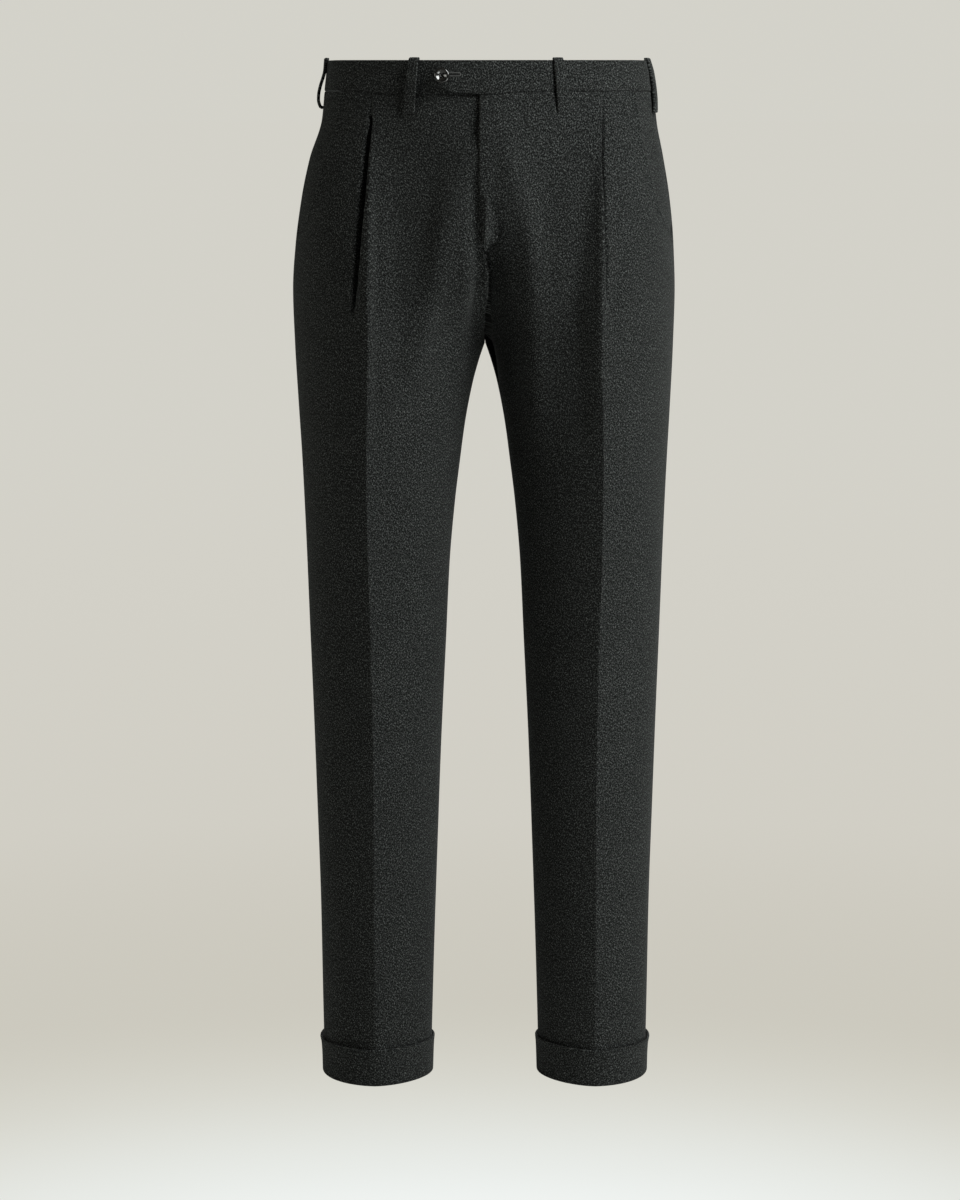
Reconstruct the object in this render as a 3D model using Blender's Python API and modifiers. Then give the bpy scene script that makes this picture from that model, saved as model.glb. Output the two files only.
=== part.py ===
"""Pleated dress trousers, worn and hollow: two fronts with a pleat each, two backs, waistband, turn-ups.

The frame is in metres, +Z up. The origin is the middle of the waist opening, at half the waistband's height.
The front faces -Y, and the wearer's left side is at +X. Tables and sizes below are in millimetres, and
"drop" is the distance down from the waistband's top edge.
"""

import functools
import math

import bmesh
import bpy
import numpy as np
from mathutils import Vector

MM = 0.001
COLLECTION = "pleated_trousers"

# ---- Driving sizes, mm ----
BAND_HEIGHT = 33.0
HEM_DROP = 1028.0
FORK_DROP = 279.0        # where the four panels meet between the legs
FORK_Y = -12.0
CLOTH = 1.2              # one layer of cloth
BAND_CLOTH = 2.2         # waistband: two layers and its stiffening
CUFF_CLOTH = 2.0         # turn-up: two layers
LOOP_CLOTH = 1.8
SEAM_GAP = 0.3
HALF_GAP = SEAM_GAP / 2

# ---- Sections, one row for each height. Angles are of the cloth's run, in degrees. ----
# side_x, side_y: the outermost point. crease_x, crease_y: the front crease or the pleat's fold.
# in_angle, out_angle: the cloth's slope, away from the front, just inside and outside the crease.
FRONT_COLUMNS = ("drop", "side_x", "side_y", "crease_x", "crease_y", "in_angle", "out_angle")
FRONT_SECTIONS = (
    (0, 159.5, 0, 110.0, -77.0, 32, 33),
    (33, 163.3, 1, 110.3, -81.0, 27, 29),
    (60, 166.0, 2, 110.5, -88.5, 18, 24),
    (95, 175.6, 5, 111.2, -98.0, 4, 20),
    (135, 183.3, 8, 112.6, -107.0, -9, 18),
    (180, 188.6, 11, 113.2, -114.5, -19, 20),
    (227, 191.0, 12, 113.5, -118.5, -24, 25),
    (279, 189.5, 10, 113.5, -117.5, -27, 29),
    (340, 186.4, 7, 115.0, -111.5, -28, 30),
    (400, 183.0, 4, 116.0, -105.0, -28, 30),
    (480, 179.5, 1, 115.3, -96.5, -28, 30),
    (560, 176.6, -2, 113.5, -89.5, -28, 29),
    (640, 173.6, -4, 111.8, -84.5, -27, 28),
    (740, 170.4, -4, 111.0, -78.5, -26, 27),
    (850, 167.2, -3, 111.4, -72.5, -25, 26),
    (950, 165.8, -1, 111.8, -68.0, -22, 23),
    (1028, 164.4, 0, 111.6, -65.0, -15, 16),
)
BACK_COLUMNS = ("drop", "crease_x", "crease_y", "in_angle", "out_angle")
BACK_SECTIONS = (
    (0, 80.0, 94.5, 21, 21),
    (33, 82.0, 99.0, 20, 20),
    (60, 84.0, 107.0, 15, 16),
    (95, 85.0, 120.5, 8, 10),
    (135, 86.0, 134.0, 2, 4),
    (180, 88.0, 142.0, -6, 6),
    (227, 92.0, 140.5, -14, 14),
    (279, 98.0, 130.0, -22, 22),
    (340, 104.0, 114.5, -26, 27),
    (400, 108.0, 102.0, -27, 28),
    (480, 110.5, 89.5, -27, 28),
    (560, 111.0, 81.0, -27, 28),
    (640, 111.0, 75.0, -27, 28),
    (740, 110.6, 71.0, -26, 27),
    (850, 111.0, 68.0, -25, 26),
    (950, 111.5, 66.0, -22, 23),
    (1028, 111.5, 65.0, -15, 16),
)
# The inside leg seam, below the fork.
INSEAM_COLUMNS = ("drop", "x", "y")
INSEAM = (
    (279, HALF_GAP, FORK_Y),
    (287, 3.0, -11.5),
    (297, 6.3, -11),
    (317, 11.8, -10),
    (357, 19.6, -8),
    (398, 25.1, -6),
    (440, 30.2, -5),
    (500, 35.4, -4),
    (580, 39.2, -3),
    (684, 44.2, -2),
    (787, 48.0, -1),
    (892, 51.6, 0),
    (1028, 55.4, 0),
)
# The centre front and centre back lines above the rise curves.
CENTRE_COLUMNS = ("drop", "front_y", "back_y")
CENTRE = (
    (0, -107.0, 108.0),
    (33, -109.0, 112.0),
    (60, -110.5, 117.0),
    (95, -111.8, 124.0),
    (149, -112.0, 130.0),
)
RISE_HEIGHT = 98.0       # height above the fork over which the seams curve under the body
RISE_HASTE = 0.8         # less than one brings the curve round sooner
RISE_CROSSING = 0.35     # how fast the two legs' sections run into each other above the fork
# How far each curve's handles reach, as shares of its span.
REACH_CENTRE = 0.48
REACH_CREASE_IN = 0.45
REACH_CREASE_OUT = 0.55
REACH_SIDE = 0.52
# The waist sits a little to one side: full at the sides, nothing at the centre.
LEAN_WIDTH = 160.0
BACK_DIP = 3.0           # the waist's centre back sits this much lower than its front
DIP_FROM_Y = -60.0
DIP_OVER = 160.0
LEAN_COLUMNS = ("drop", "x")
LEAN = ((0, 3.2), (14, 4.2), (57, 3.9), (98, 1.2), (150, 0.2), (227, -0.8), (400, -0.3), (1028, 0.0))

# The pleat, one row for each height. The cloth turns in at the fold by this angle and back out at the foot,
# round bends of these radii, with a flat length between them, and leaves the foot climbing.
PLEAT_COLUMNS = ("drop", "turn", "length", "fold_radius", "foot_radius", "climb")
PLEAT = (
    (33, 178, 9.0, 1.8, 0.6, 3),
    (60, 170, 6.5, 1.9, 0.9, 7),
    (90, 128, 4.4, 2.2, 1.5, 10),
    (130, 92, 5.2, 2.6, 2.0, 12),
    (170, 68, 6.2, 3.0, 3.0, 10),
    (205, 46, 7.0, 4.0, 5.0, 7),
    (240, 22, 9.0, 6.0, 8.0, 4),
    (268, 0, 18.0, 8.0, 10.0, 0),
    (400, 0, 28.0, 8.0, 10.0, 0),
    (1028, 0, 24.0, 8.0, 10.0, 0),
)

# The fly: how far each front passes the centre line (less than zero: stops short), and the left one's lift.
FLY_COLUMNS = ("drop", "left_lap", "right_lap", "lift")
FLY = (
    (0, 5.2, 12.0, 1.8),
    (92, 5.3, 12.0, 1.8),
    (172, 3.2, 12.0, 1.8),
    (181, 2.9, -3.2, 1.8),
    (195, 0.0, 0.0, 0.0),
)
FLY_LIFT_FLAT = 13.0     # the lifted strip's width, then the width of its slope
FLY_LIFT_SLOPE = 24.0

# The side seam lies this far ahead of the outermost point.
SEAM_COLUMNS = ("drop", "ahead")
SEAM = ((0, 12.0), (33, 14.0), (90, 21.0), (150, 22.0), (227, 17.0), (340, 9.0), (480, 4.0), (1028, 0.0))

# Slant pocket: the mouth's distance ahead of the side seam.
POCKET_COLUMNS = ("drop", "ahead")
POCKET = ((33, 45.0), (60, 44.5), (89, 47.5), (120, 48.0), (145, 42.0), (156, 34.0), (166, 22.0), (175, 9.0), (181, 0.0))
POCKET_TUCK = 10.0       # the side piece's width under the front
POCKET_SINK = CLOTH + 0.7
POCKET_RISE = 1.7        # how much nearer the surface the side piece comes at the seam,
POCKET_RISE_FROM = 14.0  # where the mouth is more than this far ahead of it,
POCKET_RISE_OVER = 20.0  # wholly so over this further distance
POCKET_END_DROP = 190.0
POCKET_SHARES = (1.0, 0.75, 0.5, 0.25, 0.0)

# Waistband. The left half ends in a tab, lifted over the right half: its edges by distance past the centre.
BAND_PROUD = 0.6         # how far its face stands out from the panels
BAND_UNDERLAP = 12.0     # the right half's hidden end
BAND_STATIONS = (14, 10)
BAND_ROWS = 3
TAB_COLUMNS = ("past", "top", "bottom")
TAB_SHAPE = (
    (5.0, 0.0, 32.85),
    (14.0, 0.0, 31.3),
    (28.0, 0.2, 30.8),
    (33.0, 1.6, 29.8),
    (39.0, 3.9, 27.4),
    (44.5, 6.2, 24.6),
    (48.6, 9.8, 21.8),
    (51.0, 13.6, 19.8),
    (52.0, 16.4, 18.2),
)
TAB_LIFT = BAND_CLOTH + 0.4
TAB_LIFT_FLAT = 14.0
TAB_LIFT_SLOPE = 34.0

# Belt loops: the half and face each stands on, and its distance from the centre at its top and its foot.
BELT_LOOPS = (
    ("belt_loop_front_left", "left", "front", 70.5, 75.5),
    ("belt_loop_front_right", "right", "front", 70.5, 75.5),
    ("belt_loop_side_left", "left", "front", 193.0, 203.0),
    ("belt_loop_side_right", "right", "back", 213.0, 224.0),
    ("belt_loop_back_left", "left", "back", 88.0, 91.0),
    ("belt_loop_back_right", "right", "back", 88.0, 91.0),
    ("belt_loop_centre_back", "left", "back", 0.0, 0.0),
)
LOOP_WIDTH = 10.0
LOOP_STATIONS = 4
# The loop's outer face from its end over the band's top edge down to its foot: drop, and how far out.
LOOP_PATH = (
    (-2.3, -1.6),
    (-2.4, 1.0),
    (-1.6, 4.4),
    (1.5, 6.6),
    (8.0, 7.6),
    (18.0, 7.8),
    (28.0, 7.7),
    (37.0, 6.8),
    (43.0, 4.7),
    (47.5, 2.8),
    (51.5, 2.2),
)

# Turn-up, round its section from the inside of its top edge: height above the hem,
# layer (0 at its inner face, 1 at its outer face) and share of the flare.
CUFF_FLARE = 1.6
CUFF_FLARE_INSIDE = 0.4  # the share of the flare at the inside leg
CUFF_FLOOR = 2.3         # its folded bottom, under the leg's end
CUFF_PROFILE = (
    (37.8, 0.15, 1.0),
    (30.0, 0.0, 0.3),
    (16.0, 0.0, 0.0),
    (CUFF_FLOOR, 0.0, 0.0),
    (CUFF_FLOOR, -0.75, 0.0),
    (0.8, -0.6, 0.0),
    (0.0, 0.05, 0.0),
    (0.8, 0.7, 0.0),
    (3.0, 1.0, 0.0),
    (16.0, 1.0, 0.0),
    (30.0, 1.0, 0.3),
    (37.0, 1.0, 1.0),
    (38.5, 0.6, 1.0),
)

# The waist button's half section from its face's middle round to its back, and its place on the tab.
BUTTON_PROFILE = ((0, 2.0), (4.4, 2.1), (5.3, 2.7), (6.3, 3.1), (7.1, 2.8), (7.5, 1.8), (7.2, 0.8), (5.6, 0), (0, 0))
BUTTON_SIDES = 28
BUTTON_DROP = 14.8
BUTTON_DISTANCE = -41.3

# Soft folds of the fronts and backs: a line from (x, drop) to (x, drop), its half width and its height.
FOLD_COLUMNS = ("half", "face", "x0", "drop0", "x1", "drop1", "width", "height")
FOLDS = (
    ("left", "front", 30, 110, 42, 300, 20, 3.0),
    ("left", "front", 66, 150, 78, 330, 17, -1.8),
    ("left", "front", 138, 190, 128, 330, 15, -1.6),
    ("right", "front", 24, 90, 30, 320, 15, 2.6),
    ("right", "front", 62, 150, 70, 330, 18, -2.0),
    ("left", "back", 20, 290, 95, 350, 16, 2.0),
    ("right", "back", 22, 285, 90, 345, 16, 2.2),
    ("left", "back", 60, 610, 150, 640, 26, 1.5),
    ("right", "back", 66, 620, 150, 655, 26, 1.5),
)
FOLD_FREE = 14.0         # folds leave the fly and the centre seams plain for this width
DART_X = 78.0            # the back dart, from the band down
DART_LENGTH = 95.0
DART_DEPTH = 1.4
DART_WIDTH = 6.0

# Mesh rows, by drop, and the cloth's stations across a front and a back.
TOP_DROP = BAND_HEIGHT + HALF_GAP
LEG_END_DROP = HEM_DROP - CUFF_FLOOR - SEAM_GAP
RISE_ROWS = (TOP_DROP, 46, 60, 75, 92, 111, 130, 148, 162, 172, 181, 195, 207, 220, 234, 248, 260, 269, 275, 278)
LEG_ROWS = (FORK_DROP, 283, 291, 304, 325, 360, 410, 480, 560, 650, 750, 850, 940, 990, LEG_END_DROP)
FRONT_STATIONS = (8, 8, 7)   # centre to crease, the pleat, pleat to side
BACK_STATIONS = (6, 8)       # side to crease, crease to centre
FINE = 40                    # points on each curve before the stations are read from it
BEND_EFFORT = 3.0            # a turn of one radian draws as many stations as this length
SHARP_TURN = 0.16            # a crease counts as no more than this turn, in radians


def smooth_table(table, columns):
    """A function of the first column that passes smoothly through a table's rows."""
    values = np.array(table, float)
    keys = values[:, 0]
    slopes = np.diff(values, axis=0) / np.diff(keys)[:, None]
    before, after = slopes[:-1], slopes[1:]
    level = before * after <= 0
    middle = np.where(level, 0.0, 2 * before * after / np.where(level, 1.0, before + after))
    tangents = np.vstack([slopes[:1], middle, slopes[-1:]])

    def read(drop):
        place = min(max(drop, keys[0]), keys[-1])
        row = min(int(np.searchsorted(keys, place, side="right")) - 1, len(keys) - 2)
        width = keys[row + 1] - keys[row]
        t = (place - keys[row]) / width
        value = (
            (1 + 2 * t) * (1 - t) ** 2 * values[row]
            + t * (1 - t) ** 2 * width * tangents[row]
            + t * t * (3 - 2 * t) * values[row + 1]
            - t * t * (1 - t) * width * tangents[row + 1]
        )
        return dict(zip(columns, value))

    return read


front_at = smooth_table(FRONT_SECTIONS, FRONT_COLUMNS)
back_at = smooth_table(BACK_SECTIONS, BACK_COLUMNS)
inseam_at = smooth_table(INSEAM, INSEAM_COLUMNS)
centre_at = smooth_table(CENTRE, CENTRE_COLUMNS)
lean_at = smooth_table(LEAN, LEAN_COLUMNS)
pleat_at = smooth_table(PLEAT, PLEAT_COLUMNS)
fly_at = smooth_table(FLY, FLY_COLUMNS)
pocket_at = smooth_table(POCKET, POCKET_COLUMNS)
seam_at = smooth_table(SEAM, SEAM_COLUMNS)
tab_at = smooth_table(TAB_SHAPE, TAB_COLUMNS)


def eased(share):
    """A share from 0 to 1 that starts and stops softly."""
    t = np.clip(share, 0.0, 1.0)
    return t * t * (3 - 2 * t)


def heading(degrees, face=1):
    """A unit direction, outward along X and turned away from the given face (1 front, -1 back)."""
    angle = math.radians(degrees)
    return np.array([math.cos(angle), face * math.sin(angle)])


def split(curve, t):
    """A cubic curve's two parts, before and after t."""
    a, b, c, d = curve
    ab, bc, cd = a + t * (b - a), b + t * (c - b), c + t * (d - c)
    abc, bcd = ab + t * (bc - ab), bc + t * (cd - bc)
    middle = abc + t * (bcd - abc)
    return (a, ab, abc, middle), (middle, bcd, cd, d)


def points_on(curve):
    """Evenly timed points along a cubic curve."""
    t = np.linspace(0, 1, FINE + 1)[:, None]
    a, b, c, d = curve
    return (1 - t) ** 3 * a + 3 * (1 - t) ** 2 * t * b + 3 * (1 - t) * t * t * c + t**3 * d


def centre_start(drop, face):
    """Where a half's curve starts and which way it leaves: at the inside leg seam, or past the centre line."""
    if drop >= FORK_DROP:
        seam = inseam_at(drop)
        return np.array([seam["x"], seam["y"]]), 90.0
    line = centre_at(drop)
    target = line["front_y"] if face > 0 else line["back_y"]
    height = FORK_DROP - drop
    share = min(height / RISE_HEIGHT, 1.0)
    crossing = RISE_CROSSING * min(height, RISE_HEIGHT) * (1 - 0.4 * share)
    y = FORK_Y + (target - FORK_Y) * eased(share**RISE_HASTE)
    return np.array([HALF_GAP - crossing, y]), 90.0 * (1 - eased(share))


def from_centre(points):
    """The part of a line on its own side of the centre line."""
    first = int(np.argmax(points[:, 0] >= HALF_GAP - 1e-6))
    if first == 0:
        return points
    before, after = points[first - 1], points[first]
    share = (HALF_GAP - before[0]) / (after[0] - before[0])
    return np.vstack([before + share * (after - before), points[first:]])


def inner_curve(drop, face, crease, in_angle):
    """The cloth from the centre line, or the inside leg seam, out to the crease."""
    start, angle = centre_start(drop, face)
    leave = heading(angle, -face)
    span = np.abs(crease - start)
    first = REACH_CENTRE * float(span @ heading(angle))
    return start, start + first * leave, crease - REACH_CREASE_IN * span[0] * heading(in_angle, face), crease


def outer_curve(crease, out_angle, side, face):
    """The cloth from the crease to the outermost point at the side."""
    span = np.abs(side - crease)
    along_side = np.array([0.0, face])
    leave = REACH_CREASE_OUT * span[0] * heading(out_angle, face)
    return crease, crease + leave, side - REACH_SIDE * span[1] * along_side, side


def slope(line):
    """The angle of a direction, in degrees."""
    return math.degrees(math.atan2(line[1], line[0]))


def pleat_path(start, pleat, first_angle, last_angle):
    """Points from the pleat's fold to its foot. The plain cloth would turn from the first angle to the last."""
    turn = math.radians(pleat["turn"])
    bends = np.array([pleat["fold_radius"] * turn, pleat["length"], pleat["foot_radius"] * turn])
    ends = np.concatenate([[0.0], np.cumsum(bends)])
    steps = np.unique(np.concatenate([np.linspace(a, b, FINE // 2 + 1) for a, b in zip(ends[:-1], ends[1:])]))
    middle = (steps[:-1] + steps[1:]) / 2
    extra = np.interp(middle, ends, (0.0, pleat["turn"], pleat["turn"], 0.0))
    angles = np.radians(first_angle + (last_angle - first_angle) * middle / ends[-1] + extra)
    moves = np.diff(steps)[:, None] * np.stack([np.cos(angles), np.sin(angles)], axis=-1)
    return np.vstack([start, start + np.cumsum(moves, axis=0)])


def pleated(curve, pleat, out_angle):
    """The pleat's points and the rest of a front's outer curve, from the pleat's foot to the side."""
    rough = pleat_path(curve[0], pleat, out_angle, out_angle)
    run = max(float((rough[-1] - curve[0]) @ heading(out_angle)), 0.0)
    plain = points_on(curve)
    from_fold = np.linalg.norm(plain - curve[0], axis=1)
    rest = split(curve, float(np.interp(run, from_fold, np.linspace(0, 1, FINE + 1))))[1]
    plain_line = rest[1] - rest[0]
    step = pleat_path(curve[0], pleat, out_angle, slope(plain_line))
    leave = np.linalg.norm(plain_line) * heading(slope(plain_line) - pleat["climb"])
    return step, (step[-1], step[-1] + leave, rest[2], rest[3])


class Line:
    """A curve in a section, read by distance along it. A mirrored one goes on past the centre line."""

    def __init__(self, points, mirrored):
        self.points = points
        self.mirrored = mirrored
        steps = np.diff(points, axis=0)
        lengths = np.linalg.norm(steps, axis=1)
        self.distance = np.concatenate([[0.0], np.cumsum(lengths)])
        self.length = self.distance[-1]
        turns = np.abs(np.diff(np.unwrap(np.arctan2(steps[:, 1], steps[:, 0]))))
        effort = lengths + BEND_EFFORT * np.concatenate([[0.0], np.minimum(turns, SHARP_TURN)])
        self.effort = np.concatenate([[0.0], np.cumsum(effort)])

    def spread(self, marks, counts):
        """Distances from the first mark to the last, closer where the line bends, with counts between marks."""
        efforts = np.interp(marks, self.distance, self.effort) + np.minimum(marks, 0.0)
        parts = [np.linspace(a, b, n, endpoint=False) for a, b, n in zip(efforts[:-1], efforts[1:], counts)]
        every = np.concatenate(parts + [efforts[-1:]])
        return np.where(every < 0, every, np.interp(every, self.effort, self.distance))

    def at(self, distances):
        """Points at these distances. Before the start, the line is its own mirror image in X."""
        distances = np.asarray(distances, float)
        x = np.interp(np.abs(distances), self.distance, self.points[:, 0])
        y = np.interp(np.abs(distances), self.distance, self.points[:, 1])
        return np.stack([np.where(distances < 0, 2 * self.points[0, 0] - x, x), y], axis=-1)

    def run(self, distances):
        """Unit directions along the line at these distances."""
        step = 0.2
        ahead = np.minimum(np.asarray(distances) + step, self.length)
        behind = ahead - 2 * step
        if not self.mirrored:
            behind = np.maximum(behind, 0.0)
        ends = self.at(ahead) - self.at(behind)
        return ends / np.linalg.norm(ends, axis=-1, keepdims=True)


@functools.lru_cache(maxsize=None)
def section(drop, plain=False):
    """One half's section: the front's line and the back's, each from the centre to the side, with its marks."""
    front, back, pleat = front_at(drop), back_at(drop), pleat_at(drop)
    if plain:
        pleat = dict(pleat, turn=0.0, climb=0.0)
    crease = np.array([front["crease_x"], front["crease_y"]])
    side = np.array([front["side_x"], front["side_y"]])
    inner = from_centre(points_on(inner_curve(drop, 1, crease, front["in_angle"])))
    step, rest = pleated(outer_curve(crease, front["out_angle"], side, 1), pleat, front["out_angle"])
    mirrored = drop < FORK_DROP
    whole = Line(np.vstack([inner, step[1:], points_on(rest)[1:]]), mirrored)
    seam = whole.length - seam_at(drop)["ahead"]
    passed = int(np.searchsorted(whole.distance, seam))
    seam_point = whole.at([seam])
    front_line = Line(np.vstack([whole.points[:passed], seam_point]), mirrored)
    back_crease = np.array([back["crease_x"], back["crease_y"]])
    back_inner = from_centre(points_on(inner_curve(drop, -1, back_crease, back["in_angle"])))
    back_outer = points_on(outer_curve(back_crease, back["out_angle"], side, -1))
    round_side = np.vstack([seam_point, whole.points[passed:-1]])[::-1]
    back_line = Line(np.vstack([back_inner, back_outer[1:], round_side]), mirrored)
    marks = whole.distance[[len(inner) - 1, len(inner) + len(step) - 2]]
    return front_line, marks, back_line, back_line.distance[len(back_inner) - 1]


def section_line(face, drop, plain):
    """One face's line, with the pleat or as plain cloth."""
    front_line, _, back_line, _ = section(drop, plain)
    return front_line if face == "front" else back_line


def front_distances(drop, half, front_line, marks):
    """The stations across a front at one height."""
    fly = fly_at(drop)
    start = HALF_GAP if drop >= FORK_DROP else 0.0
    if drop < FLY[-1][0]:
        start = -fly[half + "_lap"]
    end = front_line.length - HALF_GAP
    if drop < POCKET[-1][0]:
        end = front_line.length - max(pocket_at(drop)["ahead"], HALF_GAP)
    return front_line.spread((start, marks[0], marks[1], end), FRONT_STATIONS)


def fly_lift(drop, half, distances):
    """How far the left front stands out over the right one, near its edge."""
    if half != "left" or drop >= FLY[-1][0]:
        return np.zeros_like(distances)
    return fly_at(drop)["lift"] * (1 - eased((distances - FLY_LIFT_FLAT) / FLY_LIFT_SLOPE))


def to_space(points, drop, half):
    """Section points in millimetres to places in the frame, in metres."""
    side = 1.0 if half == "left" else -1.0
    x = side * points[..., 0] + lean_at(drop)["x"] * (points[..., 0] / LEAN_WIDTH) ** 2
    backward = eased((points[..., 1] - DIP_FROM_Y) / DIP_OVER)
    dip = BACK_DIP * backward * (1 - min(max(drop / FORK_DROP, 0.0), 1.0))
    return np.stack([x, points[..., 1], BAND_HEIGHT / 2 - drop - dip], axis=-1) * MM


def fold_height(places, half, face):
    """The soft folds' height at each place, in metres."""
    height = np.zeros(places.shape[:-1])
    x = np.abs(places[..., 0]) / MM
    drop = BAND_HEIGHT / 2 - places[..., 2] / MM
    for row in FOLDS:
        fold = dict(zip(FOLD_COLUMNS, row))
        if fold["half"] != half or fold["face"] != face:
            continue
        start = np.array([fold["x0"], fold["drop0"]], float)
        line = np.array([fold["x1"], fold["drop1"]], float) - start
        along = ((x - start[0]) * line[0] + (drop - start[1]) * line[1]) / (line @ line)
        away = ((x - start[0]) * line[1] - (drop - start[1]) * line[0]) / np.linalg.norm(line)
        fade = np.sin(np.pi * np.clip(along, 0, 1)) ** 2 * np.clip((x - FOLD_FREE) / FOLD_FREE, 0, 1)
        height += fold["height"] * MM * fade * np.exp(-((away / fold["width"]) ** 2))
    return height


def dart_height(places):
    """The back dart's groove, deepest at the band."""
    x = np.abs(places[..., 0]) / MM
    drop = BAND_HEIGHT / 2 - places[..., 2] / MM
    fade = np.clip(1 - (drop - BAND_HEIGHT) / DART_LENGTH, 0, 1)
    return -DART_DEPTH * MM * fade * np.exp(-(((x - DART_X) / DART_WIDTH) ** 2))


def outward(places, runs, half, butt_rows):
    """The cloth's outward direction, and how much longer the wall is there, from its rows and its run."""
    down = np.gradient(places, axis=0)
    normal = np.cross(runs, down)
    if half == "left":
        normal = -normal
    normal /= np.linalg.norm(normal, axis=-1, keepdims=True)
    stretch = np.ones(places.shape[:-1])
    flat = normal[butt_rows, 0] * np.array([0.0, 1.0, 1.0])
    size = np.linalg.norm(flat, axis=-1)
    normal[butt_rows, 0] = flat / size[:, None]
    stretch[butt_rows, 0] = 1 / np.maximum(size, 0.4)
    return normal, stretch


def panel(half, face):
    """A front's or a back's outer points and wall directions, by rows from the band down to the hem."""
    places, runs = [], []
    rows = RISE_ROWS + LEG_ROWS
    side = 1.0 if half == "left" else -1.0
    for drop in rows:
        front_line, marks, back_line, back_mark = section(drop)
        if face == "front":
            line = front_line
            distances = front_distances(drop, half, front_line, marks)
        else:
            line = back_line
            start = HALF_GAP if drop >= FORK_DROP else 0.0
            distances = line.spread((start, back_mark, line.length - HALF_GAP), BACK_STATIONS[::-1])
        flat_run = line.run(distances)
        if drop >= FORK_DROP:
            flat_run[0] = (0.0, -1.0 if face == "front" else 1.0)
        points = line.at(distances)
        if face == "front":
            lift = fly_lift(drop, half, distances)[:, None]
            points = points + lift * np.stack([flat_run[:, 1], -flat_run[:, 0]], axis=-1)
        places.append(to_space(points, drop, half))
        runs.append(np.stack([side * flat_run[:, 0], flat_run[:, 1], np.zeros(len(distances))], axis=-1))
    places, runs = np.array(places), np.array(runs)
    butt = [row for row, drop in enumerate(rows) if FLY[-1][0] <= drop < FORK_DROP + 1]
    if face == "back":
        runs = runs * np.array([-1.0, -1.0, 1.0])
        butt = [row for row, drop in enumerate(rows) if drop < FORK_DROP + 1]
    normal, stretch = outward(places, runs, half, butt)
    height = fold_height(places, half, face)
    if face == "back":
        height = height + dart_height(places)
    return places + height[..., None] * normal, normal, stretch


def cloth_solid(name, outer, inner, material):
    """A wall of cloth between two nets of points with the same rows and stations."""
    rows, stations = outer.shape[:2]
    bm = bmesh.new()
    bmesh.ops.create_grid(bm, x_segments=stations - 1, y_segments=rows - 1, size=0.5)
    number = bm.verts.layers.int.new("number")
    for index, vertex in enumerate(bm.verts):
        vertex[number] = index
        vertex.co = outer.reshape(-1, 3)[index]
    made = bmesh.ops.extrude_face_region(bm, geom=bm.faces[:])
    for item in made["geom"]:
        if isinstance(item, bmesh.types.BMVert):
            item.co = inner.reshape(-1, 3)[item[number]]
    bmesh.ops.recalc_face_normals(bm, faces=bm.faces)
    return add_object(name, bm, material)


def add_object(name, bm, material):
    mesh = bpy.data.meshes.new(name)
    bm.to_mesh(mesh)
    bm.free()
    mesh.materials.append(material)
    mesh.shade_smooth()
    mesh.set_sharp_from_angle(angle=math.radians(40))
    item = bpy.data.objects.new(name, mesh)
    bpy.data.collections[COLLECTION].objects.link(item)
    return item


def make_material(name, colour, roughness):
    material = bpy.data.materials.new(name)
    material.use_nodes = True
    shader = material.node_tree.nodes["Principled BSDF"]
    shader.inputs["Base Color"].default_value = (*colour, 1.0)
    shader.inputs["Roughness"].default_value = roughness
    return material


def skin_point(half, face, drop, distance, out, plain=True):
    """A place this far outside the cloth's own line, at a height and a distance from the centre."""
    line = section_line(face, min(max(drop, 0.0), LEG_END_DROP), plain)
    point, run = line.at([distance]), line.run([distance])
    turn = 1.0 if face == "front" else -1.0
    normal = turn * np.stack([run[:, 1], -run[:, 0]], axis=-1)
    return to_space(point + out * normal, drop, half)[0]


def band_edges(half, face, distance):
    """The waistband's top and lower drop, and how far its tab is lifted, at a distance from the centre."""
    if half == "right" or face == "back":
        return 0.0, BAND_HEIGHT - HALF_GAP, 0.0
    lift = TAB_LIFT * (1 - eased((distance - TAB_LIFT_FLAT) / TAB_LIFT_SLOPE))
    tab = tab_at(-distance)
    return tab["top"], tab["bottom"], lift


def waistband(half, material):
    """One half of the waistband, from the tab's point or the hidden end round to the centre back."""
    ends = sorted(-row[0] for row in TAB_SHAPE) if half == "left" else [-BAND_UNDERLAP]
    front = np.linspace(0, section_line("front", 0, True).length, BAND_STATIONS[0] + 1)
    back = np.linspace(section_line("back", 0, True).length, 0, BAND_STATIONS[1] + 1)[1:]
    stations = [("front", d) for d in ends + list(front)] + [("back", d) for d in back]
    outer, inner = [], []
    for share in np.linspace(0, 1, BAND_ROWS + 1):
        outer_row, inner_row = [], []
        for face, distance in stations:
            top, bottom, lift = band_edges(half, face, distance)
            drop = top + share * (bottom - top)
            out = BAND_PROUD + lift
            outer_row.append(skin_point(half, face, drop, distance, out))
            inner_row.append(skin_point(half, face, drop, distance, out - BAND_CLOTH))
        outer.append(outer_row)
        inner.append(inner_row)
    cloth_solid(f"waistband_{half}", np.array(outer), np.array(inner), material)


def belt_loop(name, half, face, top_distance, foot_distance, material):
    """A strip of cloth that stands off the waistband, from over its top edge to below its seam."""
    path = np.array(LOOP_PATH, float)
    step = np.gradient(path, axis=0)
    step /= np.linalg.norm(step, axis=1, keepdims=True)
    inner_path = path + LOOP_CLOTH * np.stack([step[:, 1], -step[:, 0]], axis=-1)
    across = np.linspace(-0.5, 0.5, LOOP_STATIONS) * LOOP_WIDTH
    nets = []
    for shape in (path, inner_path):
        rows = []
        for drop, out in shape:
            middle = top_distance + (foot_distance - top_distance) * drop / LOOP_PATH[-1][0]
            rows.append([skin_point(half, face, drop, middle + side, out) for side in across])
        nets.append(np.array(rows))
    cloth_solid(name, nets[0], nets[1], material)


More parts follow.
